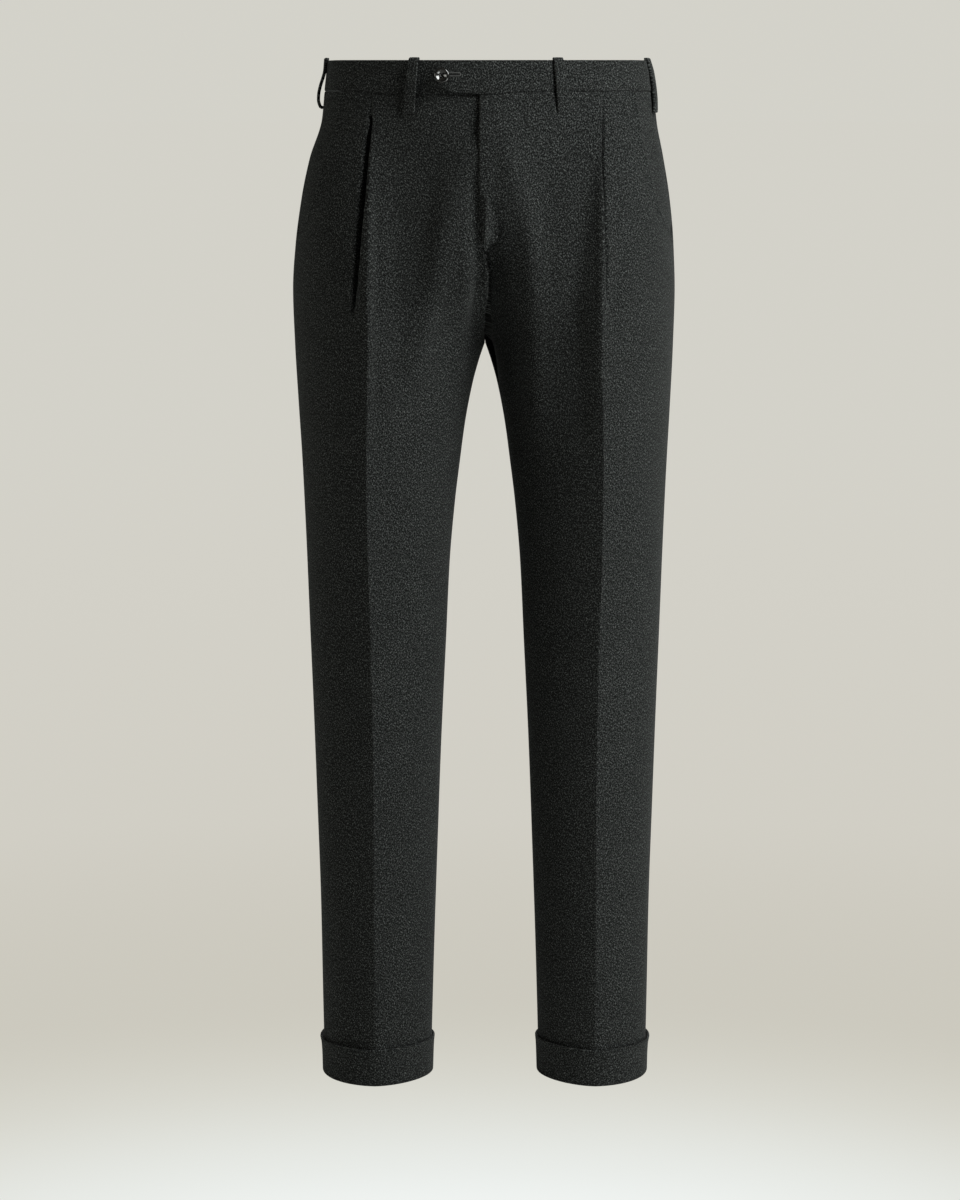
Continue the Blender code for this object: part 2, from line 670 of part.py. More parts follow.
def pocket_side(half, material):
    """The piece that fills the slant pocket's mouth: under the front, and level with it at the side seam."""
    outer, inner = [], []
    for drop in [row for row in RISE_ROWS if row < POCKET_END_DROP] + [POCKET_END_DROP]:
        ahead = pocket_at(drop)["ahead"]
        shares = np.array(POCKET_SHARES)
        from_seam = np.concatenate([[ahead + POCKET_TUCK, ahead + 0.2 * POCKET_TUCK], shares * ahead])
        distances = section_line("front", drop, False).length - from_seam - HALF_GAP
        rise = POCKET_RISE * eased((ahead - POCKET_RISE_FROM) / POCKET_RISE_OVER) * eased(1 - shares)
        sinks = POCKET_SINK - np.concatenate([[0.0, 0.0], rise])
        pairs = list(zip(distances, sinks))
        outer.append([skin_point(half, "front", drop, d, -sink, False) for d, sink in pairs])
        inner.append([skin_point(half, "front", drop, d, -sink - CLOTH, False) for d, sink in pairs])
    cloth_solid(f"pocket_side_{half}", np.array(outer), np.array(inner), material)


def turn_up(half, material):
    """The cuff: a ring of cloth folded up round the leg's end, a little open at its top edge."""
    net = []
    for height, layer, open_share in CUFF_PROFILE:
        drop = HEM_DROP - height
        front_line, marks, back_line, back_mark = section(min(drop, LEG_END_DROP))
        front = front_line.spread((0.0, marks[0], marks[1], front_line.length), FRONT_STATIONS)
        back = back_line.spread((0.0, back_mark, back_line.length), BACK_STATIONS[::-1])[-2:0:-1]
        ring = []
        for face, distances, whole in (("front", front, front_line.length), ("back", back, back_line.length)):
            for distance in distances:
                outside = eased(distance / whole)
                flare = CUFF_FLARE * (CUFF_FLARE_INSIDE + (1 - CUFF_FLARE_INSIDE) * outside)
                out = SEAM_GAP + layer * CUFF_CLOTH + flare * open_share
                ring.append(skin_point(half, face, drop, distance, out))
        net.append(ring + ring[:1])
    net = np.array(net + net[:1])
    bm = bmesh.new()
    bmesh.ops.create_grid(bm, x_segments=net.shape[1] - 1, y_segments=net.shape[0] - 1, size=0.5)
    for vertex, place in zip(bm.verts, net.reshape(-1, 3)):
        vertex.co = place
    bmesh.ops.remove_doubles(bm, verts=bm.verts, dist=1e-6)
    bmesh.ops.recalc_face_normals(bm, faces=bm.faces)
    add_object(f"turn_up_{half}", bm, material)


def waist_button(material):
    """A turned horn button with a raised rim, on the tab."""
    bm = bmesh.new()
    points = [bm.verts.new((radius * MM, 0.0, height * MM)) for radius, height in BUTTON_PROFILE]
    for first, second in zip(points[:-1], points[1:]):
        bm.edges.new((first, second))
    button = add_object("waist_button", bm, material)
    screw = button.modifiers.new("turned", "SCREW")
    screw.steps = screw.render_steps = BUTTON_SIDES
    screw.use_merge_vertices = True
    screw.merge_threshold = 0.00001
    out = BAND_PROUD + TAB_LIFT + SEAM_GAP
    seat = skin_point("left", "front", BUTTON_DROP, BUTTON_DISTANCE, out)
    ahead = skin_point("left", "front", BUTTON_DROP, BUTTON_DISTANCE, out + 1.0)
    button.location = seat
    button.rotation_euler = Vector(ahead - seat).to_track_quat("Z", "Y").to_euler()


def main():
    for item in list(bpy.data.objects):
        bpy.data.objects.remove(item)
    collection = bpy.data.collections.new(COLLECTION)
    bpy.context.scene.collection.children.link(collection)
    flannel = make_material("charcoal_flannel", (0.035, 0.036, 0.035), 0.95)
    for half in ("left", "right"):
        for face in ("front", "back"):
            outer, normal, stretch = panel(half, face)
            inner = outer - CLOTH * MM * stretch[..., None] * normal
            cloth_solid(f"{face}_{half}", outer, inner, flannel)
        waistband(half, flannel)
        pocket_side(half, flannel)
        turn_up(half, flannel)
    for row in BELT_LOOPS:
        belt_loop(*row, flannel)
    waist_button(make_material("dark_horn", (0.02, 0.018, 0.016), 0.25))


main()
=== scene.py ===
"""The dressed trousers: flannel panels with their pleats and creases, waistband, loops, turn-ups and button.

Metres, +Z up, the front faces -Y and the wearer's left is at +X. Tables and sizes below are in millimetres,
and "drop" is the distance down from the waistband's top edge.
"""

import functools
import math

import bmesh
import bpy
import numpy as np
from mathutils import Matrix, Vector

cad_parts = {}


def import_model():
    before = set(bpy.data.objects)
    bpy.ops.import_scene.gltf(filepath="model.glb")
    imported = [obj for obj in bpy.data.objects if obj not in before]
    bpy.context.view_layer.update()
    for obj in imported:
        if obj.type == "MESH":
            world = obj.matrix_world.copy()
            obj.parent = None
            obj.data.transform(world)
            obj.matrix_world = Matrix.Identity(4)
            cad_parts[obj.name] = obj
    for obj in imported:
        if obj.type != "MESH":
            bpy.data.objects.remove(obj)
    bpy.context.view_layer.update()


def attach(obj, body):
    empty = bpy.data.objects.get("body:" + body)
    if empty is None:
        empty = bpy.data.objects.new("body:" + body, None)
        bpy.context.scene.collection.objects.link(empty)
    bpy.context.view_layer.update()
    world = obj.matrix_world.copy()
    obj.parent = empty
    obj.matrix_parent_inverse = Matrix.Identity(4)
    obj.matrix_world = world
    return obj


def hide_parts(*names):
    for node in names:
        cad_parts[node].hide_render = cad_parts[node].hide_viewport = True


MM = 0.001

# ---- Driving sizes, mm ----
BAND_HEIGHT = 33.0
HEM_DROP = 1028.0
FORK_DROP = 279.0
FORK_Y = -12.0
CLOTH = 1.2
BAND_CLOTH = 2.2
CUFF_CLOTH = 2.0
LOOP_CLOTH = 3.0
SEAM_GAP = 0.3
HALF_GAP = SEAM_GAP / 2

# ---- Sections, one row for each height ----
FRONT_COLUMNS = ("drop", "side_x", "side_y", "crease_x", "crease_y", "in_angle", "out_angle")
FRONT_SECTIONS = (
    (0, 159.5, 0, 110.0, -77.0, 32, 33),
    (33, 163.3, 1, 110.3, -81.0, 27, 29),
    (60, 166.0, 2, 110.5, -88.5, 18, 24),
    (95, 175.6, 5, 111.2, -98.0, 4, 20),
    (135, 183.3, 8, 112.6, -107.0, -9, 18),
    (180, 188.6, 11, 113.2, -114.5, -19, 20),
    (227, 191.0, 12, 113.5, -118.5, -24, 25),
    (279, 189.5, 10, 113.5, -117.5, -27, 29),
    (340, 186.4, 7, 115.0, -111.5, -28, 30),
    (400, 183.0, 4, 116.0, -105.0, -28, 30),
    (480, 179.5, 1, 115.3, -96.5, -28, 30),
    (560, 176.6, -2, 113.5, -89.5, -28, 29),
    (640, 173.6, -4, 111.8, -84.5, -27, 28),
    (740, 170.4, -4, 111.0, -78.5, -26, 27),
    (850, 167.2, -3, 111.4, -72.5, -25, 26),
    (950, 165.8, -1, 111.8, -68.0, -22, 23),
    (1028, 164.4, 0, 111.6, -65.0, -15, 16),
)
BACK_COLUMNS = ("drop", "crease_x", "crease_y", "in_angle", "out_angle")
BACK_SECTIONS = (
    (0, 80.0, 94.5, 21, 21),
    (33, 82.0, 99.0, 20, 20),
    (60, 84.0, 107.0, 15, 16),
    (95, 85.0, 120.5, 8, 10),
    (135, 86.0, 134.0, 2, 4),
    (180, 88.0, 142.0, -6, 6),
    (227, 92.0, 140.5, -14, 14),
    (279, 98.0, 130.0, -22, 22),
    (340, 104.0, 114.5, -26, 27),
    (400, 108.0, 102.0, -27, 28),
    (480, 110.5, 89.5, -27, 28),
    (560, 111.0, 81.0, -27, 28),
    (640, 111.0, 75.0, -27, 28),
    (740, 110.6, 71.0, -26, 27),
    (850, 111.0, 68.0, -25, 26),
    (950, 111.5, 66.0, -22, 23),
    (1028, 111.5, 65.0, -15, 16),
)
INSEAM_COLUMNS = ("drop", "x", "y")
INSEAM = (
    (279, HALF_GAP, FORK_Y),
    (287, 3.0, -11.5),
    (297, 6.3, -11),
    (317, 11.8, -10),
    (357, 19.6, -8),
    (398, 25.1, -6),
    (440, 30.2, -5),
    (500, 35.4, -4),
    (580, 39.2, -3),
    (684, 44.2, -2),
    (787, 48.0, -1),
    (892, 51.6, 0),
    (1028, 55.4, 0),
)
CENTRE_COLUMNS = ("drop", "front_y", "back_y")
CENTRE = ((0, -107.0, 108.0), (33, -109.0, 112.0), (60, -110.5, 117.0), (95, -111.8, 124.0), (149, -112.0, 130.0))
RISE_HEIGHT = 98.0
FRONT_RISE_HEIGHT = 145.0
RISE_HASTE = 0.8
RISE_CROSSING = 0.35
CROSSING_EASE = 0.4
REACH_CENTRE = 0.48
REACH_CREASE_IN = 0.45
REACH_CREASE_OUT = 0.55
REACH_SIDE = 0.52
LEAN_WIDTH = 160.0
BACK_DIP = 3.0
DIP_FROM_Y = -60.0
DIP_OVER = 160.0
LEAN_COLUMNS = ("drop", "x")
LEAN = ((0, 3.2), (14, 4.2), (57, 3.9), (98, 1.2), (150, 0.2), (227, -0.8), (400, -0.3), (1028, 0.0))

# ---- The pleat, the fly, the side seam and the pocket's mouth ----
# The cloth turns at the fold, runs on as a strip, dives, crosses the pleat's hollow and rises to its far edge.
PLEAT_COLUMNS = (
    "drop", "turn", "strip", "dive", "depth", "reach", "sunk", "rise",
    "fold_radius", "foot_radius", "edge_radius", "climb",
)
NO_PLEAT = (
    (252, 0, 12, 0, 1, 13.6, 0, 0, 4, 4, 4, 0),
    (400, 0, 16, 0, 2, 19.6, 0, 0, 8, 8, 8, 0),
    (1028, 0, 16, 0, 2, 19.6, 0, 0, 8, 8, 8, 0),
)
PLEATS = {
    "right": (
        (33, 2, 0.1, 30, 0.6, 5.0, 0.0, 20, 1.5, 1.5, 1.5, 0),
        (52, 4, 0.1, 40, 1.0, 5.6, 0.1, 30, 1.2, 1.2, 1.2, 0),
        (61, 10, 0.1, 102, 8.0, 5.4, 0.4, 82, 0.5, 1.0, 1.2, 1),
        (76, 11, 0.1, 108, 11.0, 9.0, 0.6, 86, 0.5, 1.2, 1.6, 1),
        (90, 12, 0.2, 108, 12.0, 10.2, 0.6, 86, 0.6, 1.2, 2.0, 2),
        (124, 13, 0.4, 108, 12.5, 12.0, 0.6, 86, 0.7, 1.4, 2.4, 3),
        (162, 13, 3.4, 106, 11.5, 14.6, 0.9, 86, 0.8, 1.4, 2.4, 3),
        (195, 12, 6.8, 102, 9.5, 16.6, 0.9, 88, 0.9, 1.2, 2.2, 2),
        (216, 10, 9.4, 94, 6.8, 18.0, 1.0, 94, 1.0, 1.0, 1.8, 1),
        (232, 8, 12.4, 72, 2.8, 18.2, 0.8, 88, 1.2, 1.0, 1.6, 0),
    ),
    "left": (
        (33, 2, 0.1, 30, 0.4, 4.6, 0.0, 20, 1.5, 1.5, 1.5, 0),
        (50, 4, 0.2, 60, 1.2, 5.0, 0.4, 40, 0.8, 0.8, 1.2, 0),
        (90, 6, 0.4, 84, 2.2, 5.1, 0.8, 50, 0.7, 0.6, 1.4, 1),
        (140, 6, 0.2, 84, 2.2, 5.2, 0.8, 50, 0.8, 0.6, 1.6, 1),
        (190, 6, 0.7, 80, 2.2, 7.3, 0.7, 44, 1.0, 0.8, 2.0, 1),
        (225, 4, 1.0, 56, 1.4, 9.2, 0.5, 30, 1.6, 1.2, 2.4, 0),
    ),
}
LEAST_WALL = 0.1         # no stretch of the pleat is shorter than this
LEAST_RISE = 0.05        # the least sine of its rise that a wall is worked out from
FLY_COLUMNS = ("drop", "left_lap", "right_lap", "lift")
FLY_FOOT = 181
FLY_END = 195
FLY = (
    (0, 5.2, 12.0, 2.4),
    (92, 5.3, 12.0, 3.4),
    (172, 3.2, 12.0, 3.4),
    (FLY_FOOT, 2.9, -3.2, 3.0),
    (FLY_END, 0.0, 0.0, 0.0),
)
FLY_LIFT_FLAT = 13.0
FLY_LIFT_SLOPE = 24.0
SEAM_COLUMNS = ("drop", "ahead")
SEAM = ((0, 12.0), (33, 14.0), (90, 21.0), (150, 22.0), (227, 17.0), (340, 9.0), (480, 4.0), (1028, 0.0))
POCKET_COLUMNS = ("drop", "ahead")
POCKET_FOOT = 181
POCKET = (
    (33, 45.0), (60, 44.5), (89, 47.5), (120, 48.0), (145, 42.0),
    (156, 34.0), (166, 22.0), (175, 9.0), (POCKET_FOOT, 0.0),
)
POCKET_TUCK = 10.0
POCKET_SINK = CLOTH + 0.7
POCKET_RISE = 1.7
POCKET_RISE_FROM = 14.0
POCKET_RISE_OVER = 20.0
POCKET_END_DROP = 190.0
MOUTH_LIFT = 1.3         # the mouth's turned edge stands out this much, over this width
MOUTH_WIDTH = 11.0

# ---- Waistband, its tab, the loops and the turn-ups ----
BAND_PROUD = 0.6
BAND_UNDERLAP = 12.0
BAND_ROUND = 0.55 * BAND_CLOTH
SEAM_RISE_COLUMNS = ("share", "rise")    # how much higher the band's seam sits, on the way from centre to side
SEAM_RISE = {
    ("left", "front"): ((0, 0), (0.06, 0.4), (0.15, 2.4), (0.3, 3.0), (1, 3.2)),
    ("right", "front"): ((0, 0), (0.4, 0.0), (0.55, 1.0), (0.75, 3.0), (1, 3.4)),
    ("left", "back"): ((0, 0), (0.5, 0.4), (1, 3.2)),
    ("right", "back"): ((0, 0), (0.5, 0.4), (1, 3.4)),
}
SEAM_RISE_OVER = 70.0
SEAM_DITCH = 1.1         # how deep the cloth rolls in at the band's seam, and over what width
SEAM_DITCH_WIDTH = 1.8
TAB_COLUMNS = ("past", "top", "bottom")
TAB_SHAPE = (
    (5.0, 0.0, 32.85),
    (14.0, 0.0, 31.3),
    (28.0, 0.2, 30.8),
    (33.0, 1.6, 29.8),
    (39.0, 3.9, 27.4),
    (44.5, 6.2, 24.6),
    (48.6, 9.8, 21.8),
    (51.0, 13.6, 19.8),
    (52.0, 16.4, 18.2),
)
TAB_LIFT = BAND_CLOTH + 1.6
TAB_LIFT_FLAT = 6.0
TAB_LIFT_SLOPE = 34.0
TAB_CURL = 1.8           # how much further the tab's point stands off, over this length
TAB_CURL_OVER = 40.0
# Each loop: its solid, half, face, distance from the centre at its top and foot, and path.
BELT_LOOPS = (
    ("belt_loop_front_left", "left", "front", 70.5, 75.5, "straight"),
    ("belt_loop_front_right", "right", "front", 69.8, 75.2, "bowed"),
    ("belt_loop_side_left", "left", "front", 189.0, 198.0, "straight"),
    ("belt_loop_side_right", "right", "back", 226.0, 229.0, "hollow"),
    ("belt_loop_back_left", "left", "back", 88.0, 91.0, "bowed"),
    ("belt_loop_back_right", "right", "back", 88.0, 91.0, "bowed"),
    ("belt_loop_centre_back", "left", "back", 0.0, 0.0, "bowed"),
)
LOOP_WIDTH = (9.8, 12.0)   # at the top and at the foot
LOOP_ROUND = 0.8
LOOP_COLUMNS = ("drop", "out")   # of a loop's inner face, from over the band's top to its foot
LOOP_PATHS = {
    "straight": (
        (-2.5, -1.6), (-2.6, 0.6), (-1.6, 2.4), (3.0, 3.2), (10.0, 3.7), (18.0, 4.0),
        (28.0, 4.2), (37.0, 4.1), (43.0, 3.8), (48.0, 3.5), (50.6, 3.0), (51.5, 0.6),
    ),
    "hollow": (
        (-2.5, -1.2), (-2.8, 1.6), (-1.6, 3.3), (3.0, 3.6), (9.0, 4.0), (16.0, 5.2),
        (24.0, 7.0), (32.0, 7.9), (38.0, 7.6), (43.0, 6.2), (46.5, 3.8), (47.6, 0.8),
    ),
    "bowed": (
        (-2.6, -1.6), (-2.7, 1.0), (-1.8, 3.0), (1.5, 4.2), (8.0, 5.0), (18.0, 5.3),
        (28.0, 5.2), (37.0, 4.6), (43.0, 3.8), (48.0, 3.0), (50.8, 2.2), (51.6, 0.6),
    ),
}
CUFF_FLARE = 1.6
CUFF_FLARE_INSIDE = 0.4
CUFF_FLOOR = 2.3
BUTTON_DROP = 14.8
BUTTON_DISTANCE = -41.3
LEG_END_DROP = HEM_DROP - CUFF_FLOOR - SEAM_GAP

# ---- How finely the cloth is made ----
ROW_STEP = 3.4           # between rows down a panel
FRONT_STATIONS = (42, 52, 36)
BACK_STATIONS = (42, 46)
EDGE_STEPS = (0.0, 0.35, 0.8, 1.5, 2.6)   # rows and stations this near an edge, which rolls inward
EDGE_ROLL = 0.75
CENTRE_GROOVE = 2.4      # how much deeper the centre seam is rolled below the fly
CENTRE_STATIONS = 5
CENTRE_GROOVE_OVER = 16.0
SEAM_LAP = 0.4           # how far the pieces' inner faces pass each other at a seam
BAND_LAP = 0.9           # how far a panel's inner face runs up behind the waistband
BAND_HOLD = 0.25         # how far in a panel may lie where the waistband holds it,
BAND_HOLD_SLOPE = 0.3    # and how much further for each mm below
FINE = 60
BEND_EFFORT = 3.0
SHARP_TURN = 0.16
LEAST_SIZE = 0.4         # of a direction laid flat at a seam on the centre line
THIN_EDGE = 0.12         # the share of its half thickness left at a rounded edge
SHARP_ANGLE = 50.0

# ---- Folds of the cloth: a line from (x, drop) to (x, drop), its half width and its height ----
# A fold fades out over its ends, and nearer the centre line than its free distance.
FOLD_END = 0.3
FOLD_COLUMNS = ("x0", "drop0", "x1", "drop1", "width", "height", "free")
FOLDS = {
    ("left", "front"): (
        (0, 24, 0, 176, 60, 9.5, 0),
        (20, 66, 52, 216, 13, 6.5, 8),
        (45, 150, 54, 400, 14, 7.0, 14),
        (107, 50, 76, 330, 13, -4.0, 14),
        (115, 56, 115, 330, 7, 2.0, 14),
        (90, 210, 94, 400, 10, -2.4, 14),
        (0, 96, 6, 340, 18, -8.0, 0),
        (136, 170, 124, 240, 8, -1.6, 14),
        (128, 205, 118, 275, 7, -1.3, 14),
        (76, 548, 150, 566, 24, 0.9, 14),
    ),
    ("left", "back"): (
        (20, 290, 95, 350, 16, 2.0, 14),
        (34, 318, 110, 392, 13, -1.6, 14),
        (130, 60, 96, 190, 16, -1.5, 14),
        (30, 120, 44, 262, 16, 1.4, 6),
        (60, 610, 150, 640, 26, 1.5, 14),
        (64, 560, 140, 596, 20, -1.2, 14),
        (70, 880, 140, 905, 22, 1.1, 14),
    ),
    ("right", "front"): (
        (0, 24, 0, 270, 60, 12.0, 0),
        (115, 44, 115, 320, 9, 2.3, 14),
        (24, 90, 78, 340, 13, 5.4, 12),
        (86, 90, 92, 340, 13, -2.4, 12),
        (105, 70, 104, 420, 5, -2.2, 14),
        (8, 84, 10, 300, 7, -7.0, 0),
        (72, 560, 146, 548, 24, 0.9, 14),
    ),
    ("right", "back"): (
        (22, 285, 90, 345, 16, 2.2, 14),
        (40, 322, 118, 385, 14, -1.8, 14),
        (126, 54, 104, 200, 18, -1.3, 14),
        (34, 130, 40, 258, 15, 1.6, 6),
        (66, 620, 150, 655, 26, 1.5, 14),
        (70, 572, 146, 600, 20, -1.3, 14),
        (74, 868, 142, 884, 22, 1.0, 14),
    ),
}
DART_X = 78.0
DART_LENGTH = 95.0
DART_DEPTH = 1.4
DART_WIDTH = 6.0

# ---- The waistband's slight unevenness: where, how wide and how high, by distance from the centre ----
BAND_WAVE_COLUMNS = ("at", "width", "height")
BAND_WAVES = {
    ("left", "front"): (
        (22, 16, 0.35),
        (58, 12, -0.4),
        (104, 18, 0.5),
        (150, 16, -0.35),
    ),
    ("left", "back"): (
        (40, 20, 0.5),
        (80, 12, -0.6),
        (130, 22, 0.4),
    ),
    ("right", "front"): (
        (52, 14, -0.35),
        (96, 12, 0.45),
        (128, 16, -0.4),
        (168, 14, 0.4),
    ),
    ("right", "back"): (
        (30, 18, -0.3),
        (78, 12, -0.6),
        (120, 20, 0.5),
        (170, 16, -0.3),
    ),
}
LOOP_EDGE_STEPS = (0.0, 0.25, 0.6, 1.1, 1.6, 2.1)
LOOP_INSIDE = 2.8
LOOP_POINTS = 70
LOOP_BLUNT = 0.3         # the roll at its ends stops this far short
LOOP_STITCH_DEPTH = 0.22
LOOP_STITCH_IN = 1.6
LOOP_STITCH_WIDTH = 0.4
CUFF_COLUMNS = ("height", "layer", "open")
CUFF_PROFILE = (
    (37.8, 0.15, 1.0), (30.0, 0.0, 0.3), (16.0, 0.0, 0.0), (CUFF_FLOOR, 0.0, 0.0), (CUFF_FLOOR, -0.75, 0.0),
    (0.8, -0.6, 0.0), (0.0, 0.05, 0.0), (0.8, 0.7, 0.0), (3.0, 1.0, 0.0), (16.0, 1.0, 0.0),
    (30.0, 1.0, 0.3), (37.0, 1.0, 1.0), (38.5, 0.6, 1.0), (37.8, 0.15, 1.0),
)
CUFF_POINTS = 92
CUFF_SEAM_DEPTH = 0.5
CUFF_SEAM_WIDTH = 1.1
CUFF_FRONT_STATIONS = (38, 10, 34)
CUFF_BACK_STATIONS = (42, 40)
CUFF_WAVE = 0.35
CUFF_WAVE_SLOW = 7.3
CUFF_WAVE_QUICK = 15.1
CUFF_WAVE_QUICK_SHARE = 0.6
CUFF_WAVE_SHIFTS = {"left": 0.0, "right": 1.9, "front": 0.0, "back": 1.3}
CUFF_CREASE = 0.3        # the share of the leg's crease that goes on into the cuff
BUTTON_COLUMNS = ("radius", "height")
BUTTON_PROFILE = (
    (0.0, 1.1), (0.8, 1.15), (1.7, 1.5), (4.9, 3.5), (5.9, 3.9),
    (6.7, 3.6), (7.4, 2.4), (7.1, 0.9), (5.6, 0.0), (0.0, 0.0),
)
BUTTON_BACK = 0.55       # nothing lower than this on the button is sunk by its holes
BUTTON_POINTS = 70
BUTTON_SIDES = 96
BUTTON_TILT = (0.14, -0.1)   # how much it leans to the left side and up, for each mm outward
BUTTON_HOLES = ((1.3, 1.3), (-1.3, 1.3), (1.3, -1.3), (-1.3, -1.3))
BUTTON_HOLE_DEPTH = 1.0
BUTTON_HOLE_RADIUS = 0.55
BUTTON_HOLE_EDGE = 0.45

# ---- Sewing: lengths and places in mm, drop and distance from the centre on the left front ----
THREAD = 0.28
BUTTONHOLE = (-37.5, -23.6, 13.6, 1.5)   # from, to, drop and half height
# Radius of the near-black thread laid along the buttonhole's slit: painted shade for the cut.
SLIT_SHADE_RADIUS = 0.45
BAR_TACK = (-9.8, 1.8, 188.4, 1.0)       # from, to, drop and half height
BAR_TACK_STITCHES = 18
FLY_STITCHES = ((36.0, 40.0), (36.4, 80.0), (36.4, 120.0), (35.0, 146.0), (29.0, 164.0), (18.0, 177.0), (4.0, 185.0))
FLY_STITCH_EVERY = 5.0
FLY_STITCH_HALF = 0.9

# ---- Cloth colours, studio and camera ----
WOOL_DARK = (0.0033, 0.0035, 0.0033)
WOOL_LIGHT = (0.16, 0.17, 0.166)
GREY_THREAD = (0.13, 0.132, 0.128)
DARK_THREAD = (0.012, 0.012, 0.012)
FLECK_CONTRAST = 11.0
UNEVENNESS = 0.07
NAP_BUMP = 0.35
FIBRE_ROUGHNESS = 0.6
# Scale for each mm, stretch, turn, shift, detail, distortion and share of each layer of fibres.
FIBRES = (
    (0.95, 0.72, 28.0, (0.0, 0.0, 0.0), 1.0, 0.4, 0.6),
    (0.5, 0.8, -35.0, (40.0, 7.0, 0.0), 1.5, 0.0, 0.15),
    (2.0, 1.0, 12.0, (3.0, 90.0, 0.0), 2.0, 0.0, 0.25),
)
BACKDROP = (0.655, 0.645, 0.59)
WORLD_LIGHT = 0.036
FLOOR_Z = (BAND_HEIGHT / 2 - HEM_DROP - 1.0) * MM
# The floor's painted light: brightest at this place, with these colours at these distances in metres, out to its
# reach.
FLOOR_PAINTED_LIGHT_AT = (0.0, -0.9, FLOOR_Z)
FLOOR_REACH = 8.0
FLOOR_PAINTED_LIGHT_COLOURS = (
    (0.3, (0.93, 0.96, 0.955)),
    (0.55, (0.83, 0.86, 0.835)),
    (0.85, (0.675, 0.665, 0.6)),
    (1.19, (0.575, 0.555, 0.485)),
    (2.2, (0.65, 0.63, 0.57)),
    (8.0, BACKDROP),
)
LIGHTS = (
    ("key", (0.867, -0.677, 0.7), (0.0, 0.0, -0.4), (0.5, 0.8), 13.3, (0.97, 1.0, 0.98)),
    ("low", (0.867, -0.677, -0.7), (0.0, 0.0, -0.4), (0.5, 0.8), 4.8, (0.97, 1.0, 0.98)),
    ("fill", (-2.51, -0.67, 0.5), (0.0, 0.0, -0.4), (1.2, 1.2), 12.6, (1.0, 1.0, 0.92)),
    ("behind", (0.2, 2.6, 0.8), (0.0, 0.0, -0.4), (1.4, 1.2), 42.0, (1.0, 1.0, 0.98)),
)
FOCAL = 3746.0
CAMERA_TILT = 8.203
CAMERA_AT = (-0.005, -3.747, 0.0165)


def smooth_table(table, columns):
    """A function of the first column that passes smoothly through a table's rows."""
    values = np.array(table, float)
    keys = values[:, 0]
    slopes = np.diff(values, axis=0) / np.diff(keys)[:, None]
    before, after = slopes[:-1], slopes[1:]
    level = before * after <= 0
    middle = np.where(level, 0.0, 2 * before * after / np.where(level, 1.0, before + after))
    tangents = np.vstack([slopes[:1], middle, slopes[-1:]])

    def read(drop):
        place = min(max(drop, keys[0]), keys[-1])
        row = min(int(np.searchsorted(keys, place, side="right")) - 1, len(keys) - 2)
        width = keys[row + 1] - keys[row]
        t = (place - keys[row]) / width
        value = (
            (1 + 2 * t) * (1 - t) ** 2 * values[row]
            + t * (1 - t) ** 2 * width * tangents[row]
            + t * t * (3 - 2 * t) * values[row + 1]
            - t * t * (1 - t) * width * tangents[row + 1]
        )
        return dict(zip(columns, value))

    return read


front_at = smooth_table(FRONT_SECTIONS, FRONT_COLUMNS)
back_at = smooth_table(BACK_SECTIONS, BACK_COLUMNS)
inseam_at = smooth_table(INSEAM, INSEAM_COLUMNS)
centre_at = smooth_table(CENTRE, CENTRE_COLUMNS)
lean_at = smooth_table(LEAN, LEAN_COLUMNS)
pleat_at = {half: smooth_table(table + NO_PLEAT, PLEAT_COLUMNS) for half, table in PLEATS.items()}
fly_at = smooth_table(FLY, FLY_COLUMNS)
pocket_at = smooth_table(POCKET, POCKET_COLUMNS)
seam_at = smooth_table(SEAM, SEAM_COLUMNS)
tab_at = smooth_table(TAB_SHAPE, TAB_COLUMNS)
seam_rise_at = {place: smooth_table(table, SEAM_RISE_COLUMNS) for place, table in SEAM_RISE.items()}


def eased(share):
    """A share from 0 to 1 that starts and stops softly."""
    t = np.clip(share, 0.0, 1.0)
    return t * t * (3 - 2 * t)


def bump(distance, width):
    """A soft rise of height 1 that fades out over a few widths."""
    return np.exp(-((distance / width) ** 2))


def profile_points(rows, columns, count):
    """Points that pass smoothly through a profile's rows."""
    read = smooth_table([(number, *row) for number, row in enumerate(rows)], ("number", *columns))
    return [read(number) for number in np.linspace(0, len(rows) - 1, count)]


def turned_out(run):
    """Directions a quarter turn from a line's own."""
    return np.stack([run[:, 1], -run[:, 0]], axis=-1)


def heading(degrees, face=1):
    """A unit direction, outward along X and turned away from the given face (1 front, -1 back)."""
    angle = math.radians(degrees)
    return np.array([math.cos(angle), face * math.sin(angle)])


def split(curve, t):
    """A cubic curve's part after t."""
    a, b, c, d = curve
    ab, bc, cd = a + t * (b - a), b + t * (c - b), c + t * (d - c)
    abc, bcd = ab + t * (bc - ab), bc + t * (cd - bc)
    return abc + t * (bcd - abc), bcd, cd, d


def points_on(curve):
    """Evenly timed points along a cubic curve."""
    t = np.linspace(0, 1, FINE + 1)[:, None]
    a, b, c, d = curve
    return (1 - t) ** 3 * a + 3 * (1 - t) ** 2 * t * b + 3 * (1 - t) * t * t * c + t**3 * d


def centre_start(drop, face):
    """Where a half's curve starts and which way it leaves: at the inside leg seam, or past the centre line."""
    if drop >= FORK_DROP:
        seam = inseam_at(drop)
        return np.array([seam["x"], seam["y"]]), 90.0
    line = centre_at(drop)
    target = line["front_y"] if face > 0 else line["back_y"]
    height = FORK_DROP - drop
    whole_rise = FRONT_RISE_HEIGHT if face > 0 else RISE_HEIGHT
    share = min(height / whole_rise, 1.0)
    crossing = RISE_CROSSING * min(height, whole_rise) * (1 - CROSSING_EASE * share)
    y = FORK_Y + (target - FORK_Y) * eased(share**RISE_HASTE)
    return np.array([HALF_GAP - crossing, y]), 90.0 * (1 - eased(share))


